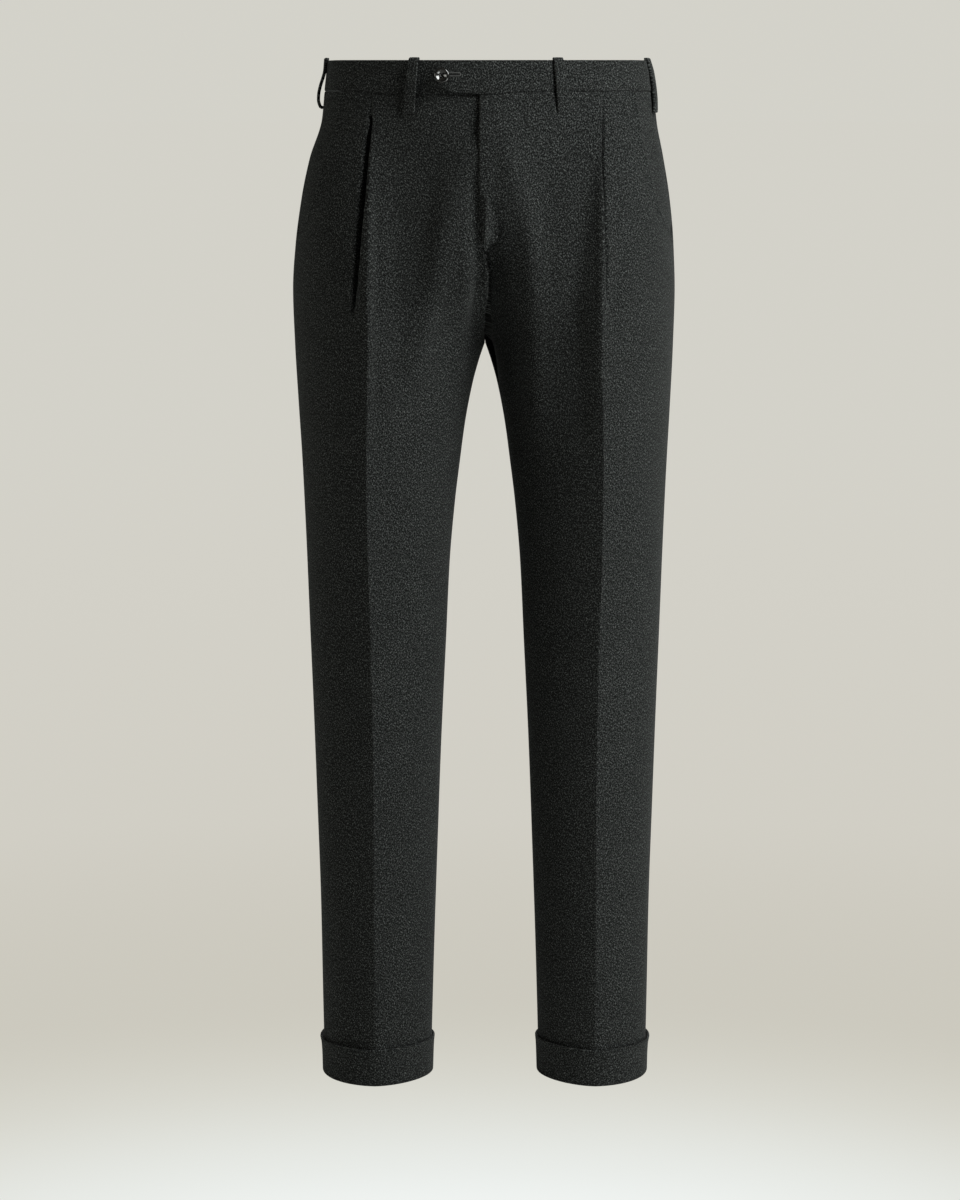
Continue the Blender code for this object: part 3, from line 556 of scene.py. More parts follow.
def from_centre(points):
    """The part of a line on its own side of the centre line."""
    first = int(np.argmax(points[:, 0] >= HALF_GAP - 1e-6))
    if first == 0:
        return points
    before, after = points[first - 1], points[first]
    share = (HALF_GAP - before[0]) / (after[0] - before[0])
    return np.vstack([before + share * (after - before), points[first:]])


def inner_curve(drop, face, crease, in_angle):
    """The cloth from the centre line, or the inside leg seam, out to the crease."""
    start, angle = centre_start(drop, face)
    leave = heading(angle, -face)
    span = np.abs(crease - start)
    first = REACH_CENTRE * float(span @ heading(angle))
    return start, start + first * leave, crease - REACH_CREASE_IN * span[0] * heading(in_angle, face), crease


def outer_curve(crease, out_angle, side, face):
    """The cloth from the crease to the outermost point at the side."""
    span = np.abs(side - crease)
    leave = REACH_CREASE_OUT * span[0] * heading(out_angle, face)
    return crease, crease + leave, side - REACH_SIDE * span[1] * np.array([0.0, face]), side


def slope(line):
    """The angle of a direction, in degrees."""
    return math.degrees(math.atan2(line[1], line[0]))


def pleat_walk(pleat, floor, wall, first_angle=0.0, last_angle=0.0):
    """Points from the pleat's fold to its foot. The plain cloth would turn from the first angle to the last."""
    angle, angles_at, bends = 0.0, [0.0], []
    for to_angle, radius, length in (
        (pleat["turn"], pleat["fold_radius"], pleat["strip"]),
        (pleat["turn"] + pleat["dive"], pleat["fold_radius"], pleat["depth"]),
        (0.0, pleat["foot_radius"], floor),
        (-pleat["rise"], pleat["foot_radius"], wall),
        (0.0, pleat["edge_radius"], LEAST_WALL),
    ):
        bends += [max(radius * math.radians(abs(to_angle - angle)), 0.01), length]
        angles_at += [to_angle, to_angle]
        angle = to_angle
    ends = np.concatenate([[0.0], np.cumsum(bends)])
    steps = np.unique(np.concatenate([np.linspace(a, b, FINE // 3 + 1) for a, b in zip(ends[:-1], ends[1:])]))
    middle = (steps[:-1] + steps[1:]) / 2
    extra = np.interp(middle, ends, angles_at)
    angles = np.radians(first_angle + (last_angle - first_angle) * middle / ends[-1] + extra)
    moves = np.diff(steps)[:, None] * np.stack([np.cos(angles), np.sin(angles)], axis=-1)
    return np.vstack([np.zeros(2), np.cumsum(moves, axis=0)])


def pleat_path(start, pleat, first_angle, last_angle):
    """The pleat's points. Its floor and far wall are as long as its reach and its sunk far edge ask."""
    along, deep = pleat_walk(pleat, LEAST_WALL, LEAST_WALL)[-1]
    rise = math.radians(pleat["rise"])
    wall = LEAST_WALL + max((deep - pleat["sunk"]) / max(math.sin(rise), LEAST_RISE), 0.0)
    floor = LEAST_WALL + max(pleat["reach"] - along - (wall - LEAST_WALL) * math.cos(rise), 0.0)
    return start + pleat_walk(pleat, floor, wall, first_angle, last_angle)


def pleated(curve, pleat, out_angle):
    """The pleat's points and the rest of a front's outer curve, from the pleat's foot to the side."""
    rough = pleat_path(curve[0], pleat, out_angle, out_angle)
    run = max(float((rough[-1] - curve[0]) @ heading(out_angle)), 0.0)
    plain = points_on(curve)
    from_fold = np.linalg.norm(plain - curve[0], axis=1)
    rest = split(curve, float(np.interp(run, from_fold, np.linspace(0, 1, FINE + 1))))
    plain_line = rest[1] - rest[0]
    step = pleat_path(curve[0], pleat, out_angle, slope(plain_line))
    leave = np.linalg.norm(plain_line) * heading(slope(plain_line) - pleat["climb"])
    return step, (step[-1], step[-1] + leave, rest[2], rest[3])


class Line:
    """A curve in a section, read by distance along it. A mirrored one goes on past the centre line."""

    def __init__(self, points, mirrored):
        self.points = points
        self.mirrored = mirrored
        steps = np.diff(points, axis=0)
        lengths = np.linalg.norm(steps, axis=1)
        self.distance = np.concatenate([[0.0], np.cumsum(lengths)])
        self.length = self.distance[-1]
        turns = np.abs(np.diff(np.unwrap(np.arctan2(steps[:, 1], steps[:, 0]))))
        effort = lengths + BEND_EFFORT * np.concatenate([[0.0], np.minimum(turns, SHARP_TURN)])
        self.effort = np.concatenate([[0.0], np.cumsum(effort)])

    def spread(self, marks, counts):
        """Distances from the first mark to the last, closer where the line bends, with counts between marks."""
        efforts = np.interp(marks, self.distance, self.effort) + np.minimum(marks, 0.0)
        parts = [np.linspace(a, b, n, endpoint=False) for a, b, n in zip(efforts[:-1], efforts[1:], counts)]
        every = np.concatenate(parts + [efforts[-1:]])
        return np.where(every < 0, every, np.interp(every, self.effort, self.distance))

    def at(self, distances):
        """Points at these distances. Before the start, the line is its own mirror image in X."""
        distances = np.asarray(distances, float)
        x = np.interp(np.abs(distances), self.distance, self.points[:, 0])
        y = np.interp(np.abs(distances), self.distance, self.points[:, 1])
        return np.stack([np.where(distances < 0, 2 * self.points[0, 0] - x, x), y], axis=-1)

    def run(self, distances, step=0.5):
        """Unit directions along the line at these distances."""
        ahead = np.minimum(np.asarray(distances) + step, self.length)
        behind = ahead - 2 * step
        if not self.mirrored:
            behind = np.maximum(behind, 0.0)
        ends = self.at(ahead) - self.at(behind)
        return ends / np.linalg.norm(ends, axis=-1, keepdims=True)


@functools.lru_cache(maxsize=None)
def section(drop, half="left", plain=False, crease_share=1.0):
    """One half's section: the front's line and the back's, each from the centre to the side, with its marks."""
    front, back, pleat = front_at(drop), back_at(drop), pleat_at[half](drop)
    if plain:
        pleat = dict(pleat, turn=0.0, dive=0.0, rise=0.0, climb=0.0)
    for table in (front, back):
        table["in_angle"] *= crease_share
        table["out_angle"] *= crease_share
    crease = np.array([front["crease_x"], front["crease_y"]])
    side = np.array([front["side_x"], front["side_y"]])
    inner = from_centre(points_on(inner_curve(drop, 1, crease, front["in_angle"])))
    step, rest = pleated(outer_curve(crease, front["out_angle"], side, 1), pleat, front["out_angle"])
    mirrored = drop < FORK_DROP
    whole = Line(np.vstack([inner, step[1:], points_on(rest)[1:]]), mirrored)
    seam = whole.length - seam_at(drop)["ahead"]
    passed = int(np.searchsorted(whole.distance, seam))
    seam_point = whole.at([seam])
    front_line = Line(np.vstack([whole.points[:passed], seam_point]), mirrored)
    back_crease = np.array([back["crease_x"], back["crease_y"]])
    back_inner = from_centre(points_on(inner_curve(drop, -1, back_crease, back["in_angle"])))
    back_outer = points_on(outer_curve(back_crease, back["out_angle"], side, -1))
    round_side = np.vstack([seam_point, whole.points[passed:-1]])[::-1]
    back_line = Line(np.vstack([back_inner, back_outer[1:], round_side]), mirrored)
    marks = whole.distance[[len(inner) - 1, len(inner) + len(step) - 2]]
    return front_line, marks, back_line, back_line.distance[len(back_inner) - 1]


def section_line(face, drop, plain, crease_share=1.0):
    """One face's line, with the pleat or as plain cloth."""
    front_line, _, back_line, _ = section(drop, "left", plain, crease_share)
    return front_line if face == "front" else back_line


def stations(line, marks, counts):
    """Distances across a piece, with more of them close to both ends for the rolled edges."""
    near = np.array(EDGE_STEPS)
    middle = line.spread((marks[0] + near[-1], *marks[1:-1], marks[-1] - near[-1]), counts)
    return np.concatenate([marks[0] + near[:-1], middle, marks[-1] - near[:-1][::-1]])


def front_ends(drop, half, front_line):
    """Where a front's cloth starts and ends at one height, by distance from the centre."""
    start = HALF_GAP if drop >= FORK_DROP else 0.0
    if drop < FLY_END:
        start = -fly_at(drop)[half + "_lap"]
    end = front_line.length - HALF_GAP
    if drop < POCKET_FOOT:
        end = front_line.length - max(pocket_at(drop)["ahead"], HALF_GAP)
    return start, end


def fly_lift(drop, half, distances):
    """How far the left front stands out over the right one, near its edge."""
    if half != "left" or drop >= FLY_END:
        return np.zeros_like(distances)
    return fly_at(drop)["lift"] * (1 - eased((distances - FLY_LIFT_FLAT) / FLY_LIFT_SLOPE))


def to_space(points, drop, half):
    """Section points in millimetres to places in the frame, in metres."""
    side = 1.0 if half == "left" else -1.0
    x = side * points[..., 0] + lean_at(drop)["x"] * (points[..., 0] / LEAN_WIDTH) ** 2
    backward = eased((points[..., 1] - DIP_FROM_Y) / DIP_OVER)
    dip = BACK_DIP * backward * (1 - min(max(drop / FORK_DROP, 0.0), 1.0))
    return np.stack([x, points[..., 1], BAND_HEIGHT / 2 - drop - dip], axis=-1) * MM


def fold_height(places, half, face):
    """The soft folds' height at each place, in metres."""
    height = np.zeros(places.shape[:-1])
    x = np.abs(places[..., 0]) / MM
    drop = BAND_HEIGHT / 2 - places[..., 2] / MM
    for row in FOLDS[half, face]:
        fold = dict(zip(FOLD_COLUMNS, row))
        start = np.array([fold["x0"], fold["drop0"]], float)
        line = np.array([fold["x1"], fold["drop1"]], float) - start
        along = ((x - start[0]) * line[0] + (drop - start[1]) * line[1]) / (line @ line)
        away = ((x - start[0]) * line[1] - (drop - start[1]) * line[0]) / np.linalg.norm(line)
        fade = eased(along / FOLD_END) * eased((1 - along) / FOLD_END)
        if fold["free"]:
            fade = fade * np.clip(x / fold["free"] - 1, 0, 1)
        height += fold["height"] * MM * fade * bump(away, fold["width"])
    return height


def dart_height(places):
    """The back dart's groove, deepest at the band."""
    x = np.abs(places[..., 0]) / MM
    drop = BAND_HEIGHT / 2 - places[..., 2] / MM
    fade = np.clip(1 - (drop - BAND_HEIGHT) / DART_LENGTH, 0, 1)
    return -DART_DEPTH * MM * fade * bump(x - DART_X, DART_WIDTH)


def outward(places, runs, half, butt_rows):
    """The cloth's outward direction, and how much longer the wall is there, from its rows and its run."""
    down = np.gradient(places, axis=0)
    normal = np.cross(runs, down)
    if half == "left":
        normal = -normal
    normal /= np.linalg.norm(normal, axis=-1, keepdims=True)
    stretch = np.ones(places.shape[:-1])
    flat = normal[butt_rows, 0] * np.array([0.0, 1.0, 1.0])
    size = np.linalg.norm(flat, axis=-1)
    normal[butt_rows, 0] = flat / size[:, None]
    stretch[butt_rows, 0] = 1 / np.maximum(size, LEAST_SIZE)
    return normal, stretch


def rolled(distance, depth=EDGE_ROLL, width=EDGE_STEPS[-1]):
    """How far a cut edge's outer face has rolled inward, at a distance from the edge."""
    share = np.clip(1 - distance / width, 0.0, 1.0)
    return depth * (1 - np.sqrt(1 - share**2))


def seam_rise(half, face, shares):
    """How much the band's seam is lifted at these shares of the way from the centre to the side."""
    read = seam_rise_at[half, face]
    return np.array([read(min(max(float(share), 0.0), 1.0))["rise"] for share in shares])


def rows_down():
    """The panels' rows by drop, closer together at the band and at the hem."""
    first, last = BAND_HEIGHT + HALF_GAP, LEG_END_DROP
    near = np.array(EDGE_STEPS)
    top = np.linspace(first + near[-1], FORK_DROP, int((FORK_DROP - first) / ROW_STEP) + 1)[1:]
    leg = np.linspace(FORK_DROP, last - near[-1], int((last - FORK_DROP) / ROW_STEP) + 1)[1:-1]
    return np.concatenate([first + near, top, leg, (last - near)[::-1]])


def panel(half, face):
    """A front's or a back's outer and inner nets and its cloth coordinates, from the band to the hem."""
    rows = rows_down()
    side = 1.0 if half == "left" else -1.0
    places, runs, cuts, edges = [], [], [], []
    for drop in map(float, rows):
        front_line, marks, back_line, back_mark = section(drop, half)
        if face == "front":
            line, mark = front_line, marks[0]
            start, end = front_ends(drop, half, front_line)
            distances = stations(line, (start, marks[0], marks[1], end), FRONT_STATIONS)
        else:
            line, mark = back_line, back_mark
            start = HALF_GAP if drop >= FORK_DROP else 0.0
            distances = stations(line, (start, back_mark, line.length - HALF_GAP), BACK_STATIONS[::-1])
        run = line.run(distances)
        if drop >= FORK_DROP:
            run[0] = (0.0, -1.0 if face == "front" else 1.0)
        points = line.at(distances)
        if face == "front":
            lift = fly_lift(drop, half, distances)
            if drop < POCKET_FOOT:
                lift = lift + MOUTH_LIFT * (1 - eased((distances[-1] - distances) / MOUTH_WIDTH))
            points = points + lift[:, None] * turned_out(run)
        place = to_space(points, drop, half)
        fade = 1 - float(eased((drop - rows[0]) / SEAM_RISE_OVER))
        if fade > 0:
            place[:, 2] += seam_rise(half, face, distances / line.length) * fade * MM
        places.append(place)
        runs.append(np.stack([side * run[:, 0], run[:, 1], np.zeros(len(distances))], axis=-1))
        cuts.append(np.stack([side * (distances - mark), np.full(len(distances), -drop)], axis=-1) * MM)
        edges.append(np.minimum(distances - distances[0], distances[-1] - distances))
    places, runs, cuts, edges = map(np.array, (places, runs, cuts, edges))
    butt_from = FLY_END if face == "front" else 0.0
    butt = [row for row, drop in enumerate(rows) if butt_from <= drop < FORK_DROP + 1]
    if face == "back":
        runs = runs * np.array([-1.0, -1.0, 1.0])
    normal, stretch = outward(places, runs, half, butt)
    height = fold_height(places, half, face)
    if face == "back":
        height = height + dart_height(places)
    below_band = (rows - rows[0])[:, None]
    height = np.maximum(height, -(BAND_HOLD + BAND_HOLD_SLOPE * below_band) * MM)
    inner = places + (height - CLOTH * MM * stretch)[..., None] * normal
    for edge, beside in ((0, 1), (-1, -2)):
        away = inner[:, edge] - inner[:, beside]
        inner[:, edge] += SEAM_LAP * MM * away / np.linalg.norm(away, axis=-1, keepdims=True)
    inner[0, :, 2] += BAND_LAP * MM
    hem_roll = rolled((rows[-1] - rows)[:, None])
    roll = np.maximum(np.maximum(rolled(edges), hem_roll), rolled(below_band, SEAM_DITCH, SEAM_DITCH_WIDTH))
    groove = 1 + (CENTRE_GROOVE - 1) * eased((rows[:, None] - FLY_FOOT) / CENTRE_GROOVE_OVER)
    roll[:, :CENTRE_STATIONS] *= groove
    outer = places + (height - roll * MM)[..., None] * normal
    return outer, inner, cuts


def cloth_grid(net):
    """A grid laid on a net of points, with each vertex numbered for its cloth coordinates."""
    bm = bmesh.new()
    bmesh.ops.create_grid(bm, x_segments=net.shape[1] - 1, y_segments=net.shape[0] - 1, size=0.5)
    number = bm.verts.layers.int.new("number")
    for index, (vertex, place) in enumerate(zip(bm.verts, net.reshape(-1, 3))):
        vertex[number] = index
        vertex.co = place
    return bm, number


def cloth_solid(name, outer, inner, cuts, material):
    """A wall of cloth between two nets of points, with its cloth coordinates as a UV map."""
    bm, number = cloth_grid(outer)
    made = bmesh.ops.extrude_face_region(bm, geom=bm.faces[:])
    for item in made["geom"]:
        if isinstance(item, bmesh.types.BMVert):
            item.co = inner.reshape(-1, 3)[item[number]]
    bmesh.ops.recalc_face_normals(bm, faces=bm.faces)
    return finished(name, bm, cuts.reshape(-1, 2), material)


def closed_skin(name, net, cuts, material):
    """A net of points whose first and last rows and stations meet, joined into a closed skin."""
    bm, _ = cloth_grid(net)
    bmesh.ops.remove_doubles(bm, verts=bm.verts, dist=1e-7)
    bmesh.ops.recalc_face_normals(bm, faces=bm.faces)
    return finished(name, bm, cuts.reshape(-1, 2), material)


def linked(name, data):
    """A new object in the scene."""
    item = bpy.data.objects.new(name, data)
    bpy.context.scene.collection.objects.link(item)
    return item


def finished(name, bm, cuts, material):
    """The mesh as an object, with its UV map read from each vertex's number."""
    mesh = bpy.data.meshes.new(name)
    bm.to_mesh(mesh)
    bm.free()
    if cuts is not None:
        numbers = np.zeros(len(mesh.vertices), np.int32)
        mesh.attributes["number"].data.foreach_get("value", numbers)
        corners = np.zeros(len(mesh.loops), np.int32)
        mesh.loops.foreach_get("vertex_index", corners)
        layer = mesh.uv_layers.new(name="cloth")
        layer.data.foreach_set("uv", cuts[numbers[corners]].astype(np.float32).ravel())
    mesh.materials.append(material)
    mesh.shade_smooth()
    mesh.set_sharp_from_angle(angle=math.radians(SHARP_ANGLE))
    return linked(name, mesh)


def skin_row(half, face, drop, distances, outs, plain=True, crease_share=1.0):
    """Places along one height, each this far outside the cloth's own line."""
    level = round(min(max(drop, 0.0), LEG_END_DROP), 3)
    lines = {name: section_line(name, level, plain, crease_share) for name in ("front", "back")}
    past = np.asarray(distances, float) - lines[face].length
    other = "back" if face == "front" else "front"
    rows = []
    for name, places in ((face, np.minimum(past, 0.0) + lines[face].length), (other, lines[other].length - past)):
        turn = 1.0 if name == "front" else -1.0
        normal = turn * turned_out(lines[name].run(places))
        rows.append(lines[name].at(places) + np.asarray(outs)[:, None] * normal)
    return to_space(np.where(past[:, None] > 0, rows[1], rows[0]), drop, half)


def skin_point(half, face, drop, distance, out, plain=True):
    """A place this far outside the cloth's own line, at a height and a distance from the centre."""
    return skin_row(half, face, drop, [distance], [out], plain)[0]


def round_share(distance, radius):
    """The share of its half thickness that a folded edge keeps, at a distance from the edge."""
    share = np.clip(1 - distance / radius, 0.0, 1.0)
    return np.clip(np.sqrt(1 - share**2), THIN_EDGE, 1.0)


def tab_lift(distances):
    """How far the left band stands off the right one, most at its point."""
    laid = TAB_LIFT * (1 - eased((distances - TAB_LIFT_FLAT) / TAB_LIFT_SLOPE))
    return laid + TAB_CURL * eased((-distances - TAB_LIFT_FLAT) / TAB_CURL_OVER)


def band_edges(half, face, distances, length):
    """The waistband's top and lower drop, and how far its tab is lifted, at distances from the centre."""
    top = lift = np.zeros_like(distances)
    foot = BAND_HEIGHT - HALF_GAP
    if (half, face) == ("left", "front"):
        tabs = [tab_at(-distance) for distance in distances]
        top, foot = (np.array([tab[edge] for tab in tabs]) for edge in ("top", "bottom"))
        lift = tab_lift(distances)
    return top, foot - seam_rise(half, face, distances / length), lift


def band_waves(half, face, distances, share):
    """The waistband's slight unevenness: flat at its top edge, fullest above its seam."""
    height = np.zeros_like(distances)
    for row in BAND_WAVES[half, face]:
        wave = dict(zip(BAND_WAVE_COLUMNS, row))
        height += wave["height"] * bump(distances - wave["at"], wave["width"])
    return height * share


def waistband(half, material):
    """One half of the waistband, from the tab's point or the hidden end round to the centre back."""
    near = np.array(EDGE_STEPS)
    ends = -np.linspace(TAB_SHAPE[-1][0], 0, 50)[:-1] if half == "left" else np.linspace(-BAND_UNDERLAP, 0, 8)[:-1]
    ends = np.sort(np.concatenate([ends[0] + near[1:-1] * 0.6, ends]))
    length, back_length = (section_line(face, 0.0, True).length for face in ("front", "back"))
    front = np.concatenate([ends, np.linspace(0, length, 62)])
    back = np.concatenate([np.linspace(back_length, near[-1], 60)[1:], near[:-1][::-1]])
    shares = np.concatenate([near / BAND_HEIGHT, np.linspace(0.1, 0.9, 15), 1 - near[::-1] / BAND_HEIGHT])
    outer, inner, cuts = [], [], []
    for share in shares:
        outer_row, inner_row, cut_row = [], [], []
        for face, distances, whole in (("front", front, length), ("back", back, back_length)):
            top, bottom, lift = band_edges(half, face, distances, whole)
            end = distances - distances[0] if face == "front" else distances
            drops = top + share * (bottom - top)
            edge = np.minimum(np.minimum(drops - top, bottom - drops), end)
            walls = BAND_CLOTH / 2 * round_share(edge, BAND_ROUND)
            middle = BAND_PROUD + lift - BAND_CLOTH / 2 + band_waves(half, face, distances, share)
            for row, outs in ((outer_row, middle + walls), (inner_row, middle - walls)):
                row.extend(skin_point(half, face, *place) for place in zip(drops, distances, outs))
            along = distances if face == "front" else length + back_length - distances
            cut_row.extend(zip(along * MM, -drops * MM))
        outer.append(outer_row)
        inner.append(inner_row)
        cuts.append(cut_row)
    return cloth_solid(f"band_{half}", np.array(outer), np.array(inner), np.array(cuts), material)


def belt_loop(name, half, face, top_distance, foot_distance, path_name, material):
    """A strip of cloth that stands off the waistband, from over its top edge to below its seam."""
    points = profile_points(LOOP_PATHS[path_name], LOOP_COLUMNS, LOOP_POINTS)
    path = np.array([(point["drop"], point["out"]) for point in points])
    step = np.gradient(path, axis=0)
    normal = turned_out(step / np.linalg.norm(step, axis=1, keepdims=True))
    along = np.concatenate([[0.0], np.cumsum(np.linalg.norm(np.diff(path, axis=0), axis=1))])
    outer, inner, cuts = [], [], []
    for (drop, out), away, place in zip(path, normal, along):
        width = float(np.interp(place, (0.0, along[-1]), LOOP_WIDTH))
        inside = np.linspace(LOOP_INSIDE, width - LOOP_INSIDE, 6)
        across = np.concatenate([LOOP_EDGE_STEPS, inside, width - np.array(LOOP_EDGE_STEPS[::-1])])
        from_side = np.minimum(across, width - across)
        groove = LOOP_STITCH_DEPTH * bump(from_side - LOOP_STITCH_IN, LOOP_STITCH_WIDTH)
        end = min(place, along[-1] - place)
        walls = LOOP_CLOTH / 2 * round_share(np.minimum(from_side, end + LOOP_BLUNT), LOOP_ROUND)
        centre = top_distance + (foot_distance - top_distance) * drop / path[-1][0]
        distances = centre + (across - width / 2)
        for net, depths in ((outer, LOOP_CLOTH / 2 - walls + groove), (inner, LOOP_CLOTH / 2 + walls)):
            places = zip(drop + depths * away[0], distances, out + depths * away[1])
            net.append([skin_point(half, face, *spot) for spot in places])
        cuts.append([(distance * MM, -place * MM) for distance in across])
    return cloth_solid(name + "_cloth", np.array(outer), np.array(inner), np.array(cuts), material)


def pocket_side(half, material):
    """The piece that fills the slant pocket's mouth: under the front, and level with it at the side seam."""
    first = BAND_HEIGHT + HALF_GAP
    rows = np.concatenate([first + np.array(EDGE_STEPS), np.linspace(first + 5, POCKET_END_DROP, 50)])
    shares = np.concatenate([np.linspace(1, 0.06, 18), [0.04, 0.02, 0.008, 0.0]])
    outer, inner, cuts = [], [], []
    for drop in map(float, rows):
        ahead = pocket_at(drop)["ahead"]
        under = np.linspace(POCKET_TUCK, 0.15 * POCKET_TUCK, 4)
        from_seam = np.concatenate([ahead + under, shares * ahead])
        distances = section_line("front", round(drop, 3), False).length - from_seam - HALF_GAP
        rise = POCKET_RISE * eased((ahead - POCKET_RISE_FROM) / POCKET_RISE_OVER) * eased(1 - shares)
        sinks = POCKET_SINK - np.concatenate([np.zeros(4), rise])
        roll = np.maximum(rolled(from_seam), rolled(drop - first, SEAM_DITCH, SEAM_DITCH_WIDTH))
        length = distances[-1] + HALF_GAP
        lift = seam_rise(half, "front", distances / length) * (1 - eased((drop - first) / SEAM_RISE_OVER)) * MM
        for net, outs in ((outer, -sinks - roll), (inner, -sinks - CLOTH)):
            net.append(skin_row(half, "front", drop, distances, outs, False) + lift[:, None] * (0.0, 0.0, 1.0))
        cuts.append([(-d * MM, -drop * MM) for d in from_seam])
    return cloth_solid(f"pocket_cloth_{half}", np.array(outer), np.array(inner), np.array(cuts), material)


def turn_up(half, material):
    """The cuff: a ring of cloth folded up round the leg's end, a little open at its top edge."""
    net, cuts = [], []
    around = 0.0
    previous = None
    for point in profile_points(CUFF_PROFILE, CUFF_COLUMNS, CUFF_POINTS):
        drop = HEM_DROP - point["height"]
        level = round(min(drop, LEG_END_DROP), 3)
        front_line, marks, back_line, back_mark = section(level, half, True, CUFF_CREASE)
        front = front_line.spread((0.0, marks[0], marks[1], front_line.length), CUFF_FRONT_STATIONS)
        back = back_line.spread((0.0, back_mark, back_line.length), CUFF_BACK_STATIONS)[-2:0:-1]
        ring, cut = [], []
        if previous:
            around += math.hypot(drop - previous[0], (point["layer"] - previous[1]) * CUFF_CLOTH)
        previous = (drop, point["layer"])
        for face, distances, whole in (("front", front, front_line.length), ("back", back, back_line.length)):
            outside = eased(distances / whole)
            flare = CUFF_FLARE * (CUFF_FLARE_INSIDE + (1 - CUFF_FLARE_INSIDE) * outside)
            seam = np.minimum(distances, whole - distances)
            groove = CUFF_SEAM_DEPTH * bump(seam, CUFF_SEAM_WIDTH) * max(0.0, min(1.0, 2 * point["layer"] - 1))
            wave = cuff_wave(half, face, distances / whole) * point["open"]
            outs = SEAM_GAP + point["layer"] * CUFF_CLOTH + flare * point["open"] - groove + wave
            ring.extend(skin_row(half, face, drop, distances, outs, True, CUFF_CREASE))
            along = distances if face == "front" else front_line.length + back_line.length - distances
            cut.extend(np.stack([along, np.full(len(along), -around)], axis=-1) * MM)
        net.append(ring + ring[:1])
        cuts.append(cut + [cut[-1]])
    return closed_skin(f"turn_up_cloth_{half}", np.array(net + net[:1]), np.array(cuts + cuts[:1]), material)


def cuff_wave(half, face, shares):
    """How unevenly the cuff's top edge stands open, round one face."""
    turn, shift = CUFF_WAVE_SHIFTS[half], CUFF_WAVE_SHIFTS[face]
    slow = np.sin(CUFF_WAVE_SLOW * shares + turn + shift)
    quick = np.sin(CUFF_WAVE_QUICK * shares - turn)
    return CUFF_WAVE * (slow + CUFF_WAVE_QUICK_SHARE * quick) * np.sin(np.pi * shares)


def tube(name, points, radii, sides, material):
    """A thread or cord along points, with a radius at each, closed at its ends."""
    points, radii = np.array(points, float), np.array(radii, float)
    steps = np.gradient(points, axis=0)
    steps /= np.linalg.norm(steps, axis=1, keepdims=True)
    across = np.cross(steps, (0.3, -0.2, 0.9))
    across /= np.linalg.norm(across, axis=1, keepdims=True)
    above = np.cross(steps, across)
    turns = np.linspace(0, 2 * math.pi, sides + 1)[None, :, None]
    ring = np.cos(turns) * across[:, None] + np.sin(turns) * above[:, None]
    net = points[:, None] + radii[:, None, None] * ring
    net = np.concatenate([np.repeat(points[:1, None], sides + 1, 1), net, np.repeat(points[-1:, None], sides + 1, 1)])
    along = np.arange(len(net))[:, None] * 0.0005 * np.ones((1, sides + 1))
    cuts = np.stack([np.broadcast_to(np.linspace(0, 0.002, sides + 1), along.shape), along], axis=-1)
    return closed_skin(name, net, cuts, material)


def waist_button(material):
    """A turned horn button: dished face, raised rim, four holes."""
    points = profile_points(BUTTON_PROFILE, BUTTON_COLUMNS, BUTTON_POINTS)
    bm = bmesh.new()
    line = [bm.verts.new((p["radius"] * MM, 0.0, p["height"] * MM)) for p in points]
    made = [bm.edges.new(pair) for pair in zip(line[:-1], line[1:])]
    turn = {"cent": (0, 0, 0), "axis": (0, 0, 1), "angle": 2 * math.pi, "steps": BUTTON_SIDES}
    bmesh.ops.spin(bm, geom=line + made, use_merge=True, **turn)
    bmesh.ops.remove_doubles(bm, verts=bm.verts, dist=1e-6)
    for vertex in bm.verts:
        if vertex.co.z < BUTTON_BACK * MM:
            continue
        for x, y in BUTTON_HOLES:
            away = math.hypot(vertex.co.x / MM - x, vertex.co.y / MM - y)
            vertex.co.z -= BUTTON_HOLE_DEPTH * MM * (1 - float(eased((away - BUTTON_HOLE_RADIUS) / BUTTON_HOLE_EDGE)))
    bmesh.ops.recalc_face_normals(bm, faces=bm.faces)
    out = BAND_PROUD + float(tab_lift(BUTTON_DISTANCE)) + SEAM_GAP
    seat = skin_point("left", "front", BUTTON_DROP, BUTTON_DISTANCE, out)
    lean, rise = BUTTON_TILT
    ahead = skin_point("left", "front", BUTTON_DROP + rise, BUTTON_DISTANCE + lean, out + 1.0)
    turn = Vector(ahead - seat).to_track_quat("Z", "Y").to_matrix().to_4x4()
    bmesh.ops.transform(bm, matrix=Matrix.Translation(Vector(seat)) @ turn, verts=bm.verts)
    return finished("button_turned", bm, None, material)


def stitch(half, face, drop, distance, turn, reach, out, radius, material):
    """One short stitch: a bar of thread over the cloth, sunk in at both ends."""
    points = []
    for share in np.linspace(-1, 1, 7):
        across, down = math.cos(turn) * share * reach, math.sin(turn) * share * reach
        rise = out + radius * 0.8 * (1 - share**2) - radius * 0.9 * share**4
        points.append(skin_row(half, face, drop + down, [distance + across], [rise], False)[0])
    return tube("stitch", points, radius * MM * (1 - 0.4 * np.abs(np.linspace(-1, 1, 7)) ** 3), 8, material)


def tab_surface(distance, drop, above):
    """A place this far above the tab's outer face."""
    out = BAND_PROUD + float(tab_lift(distance)) + above
    return skin_row("left", "front", drop, [distance], [out])[0]


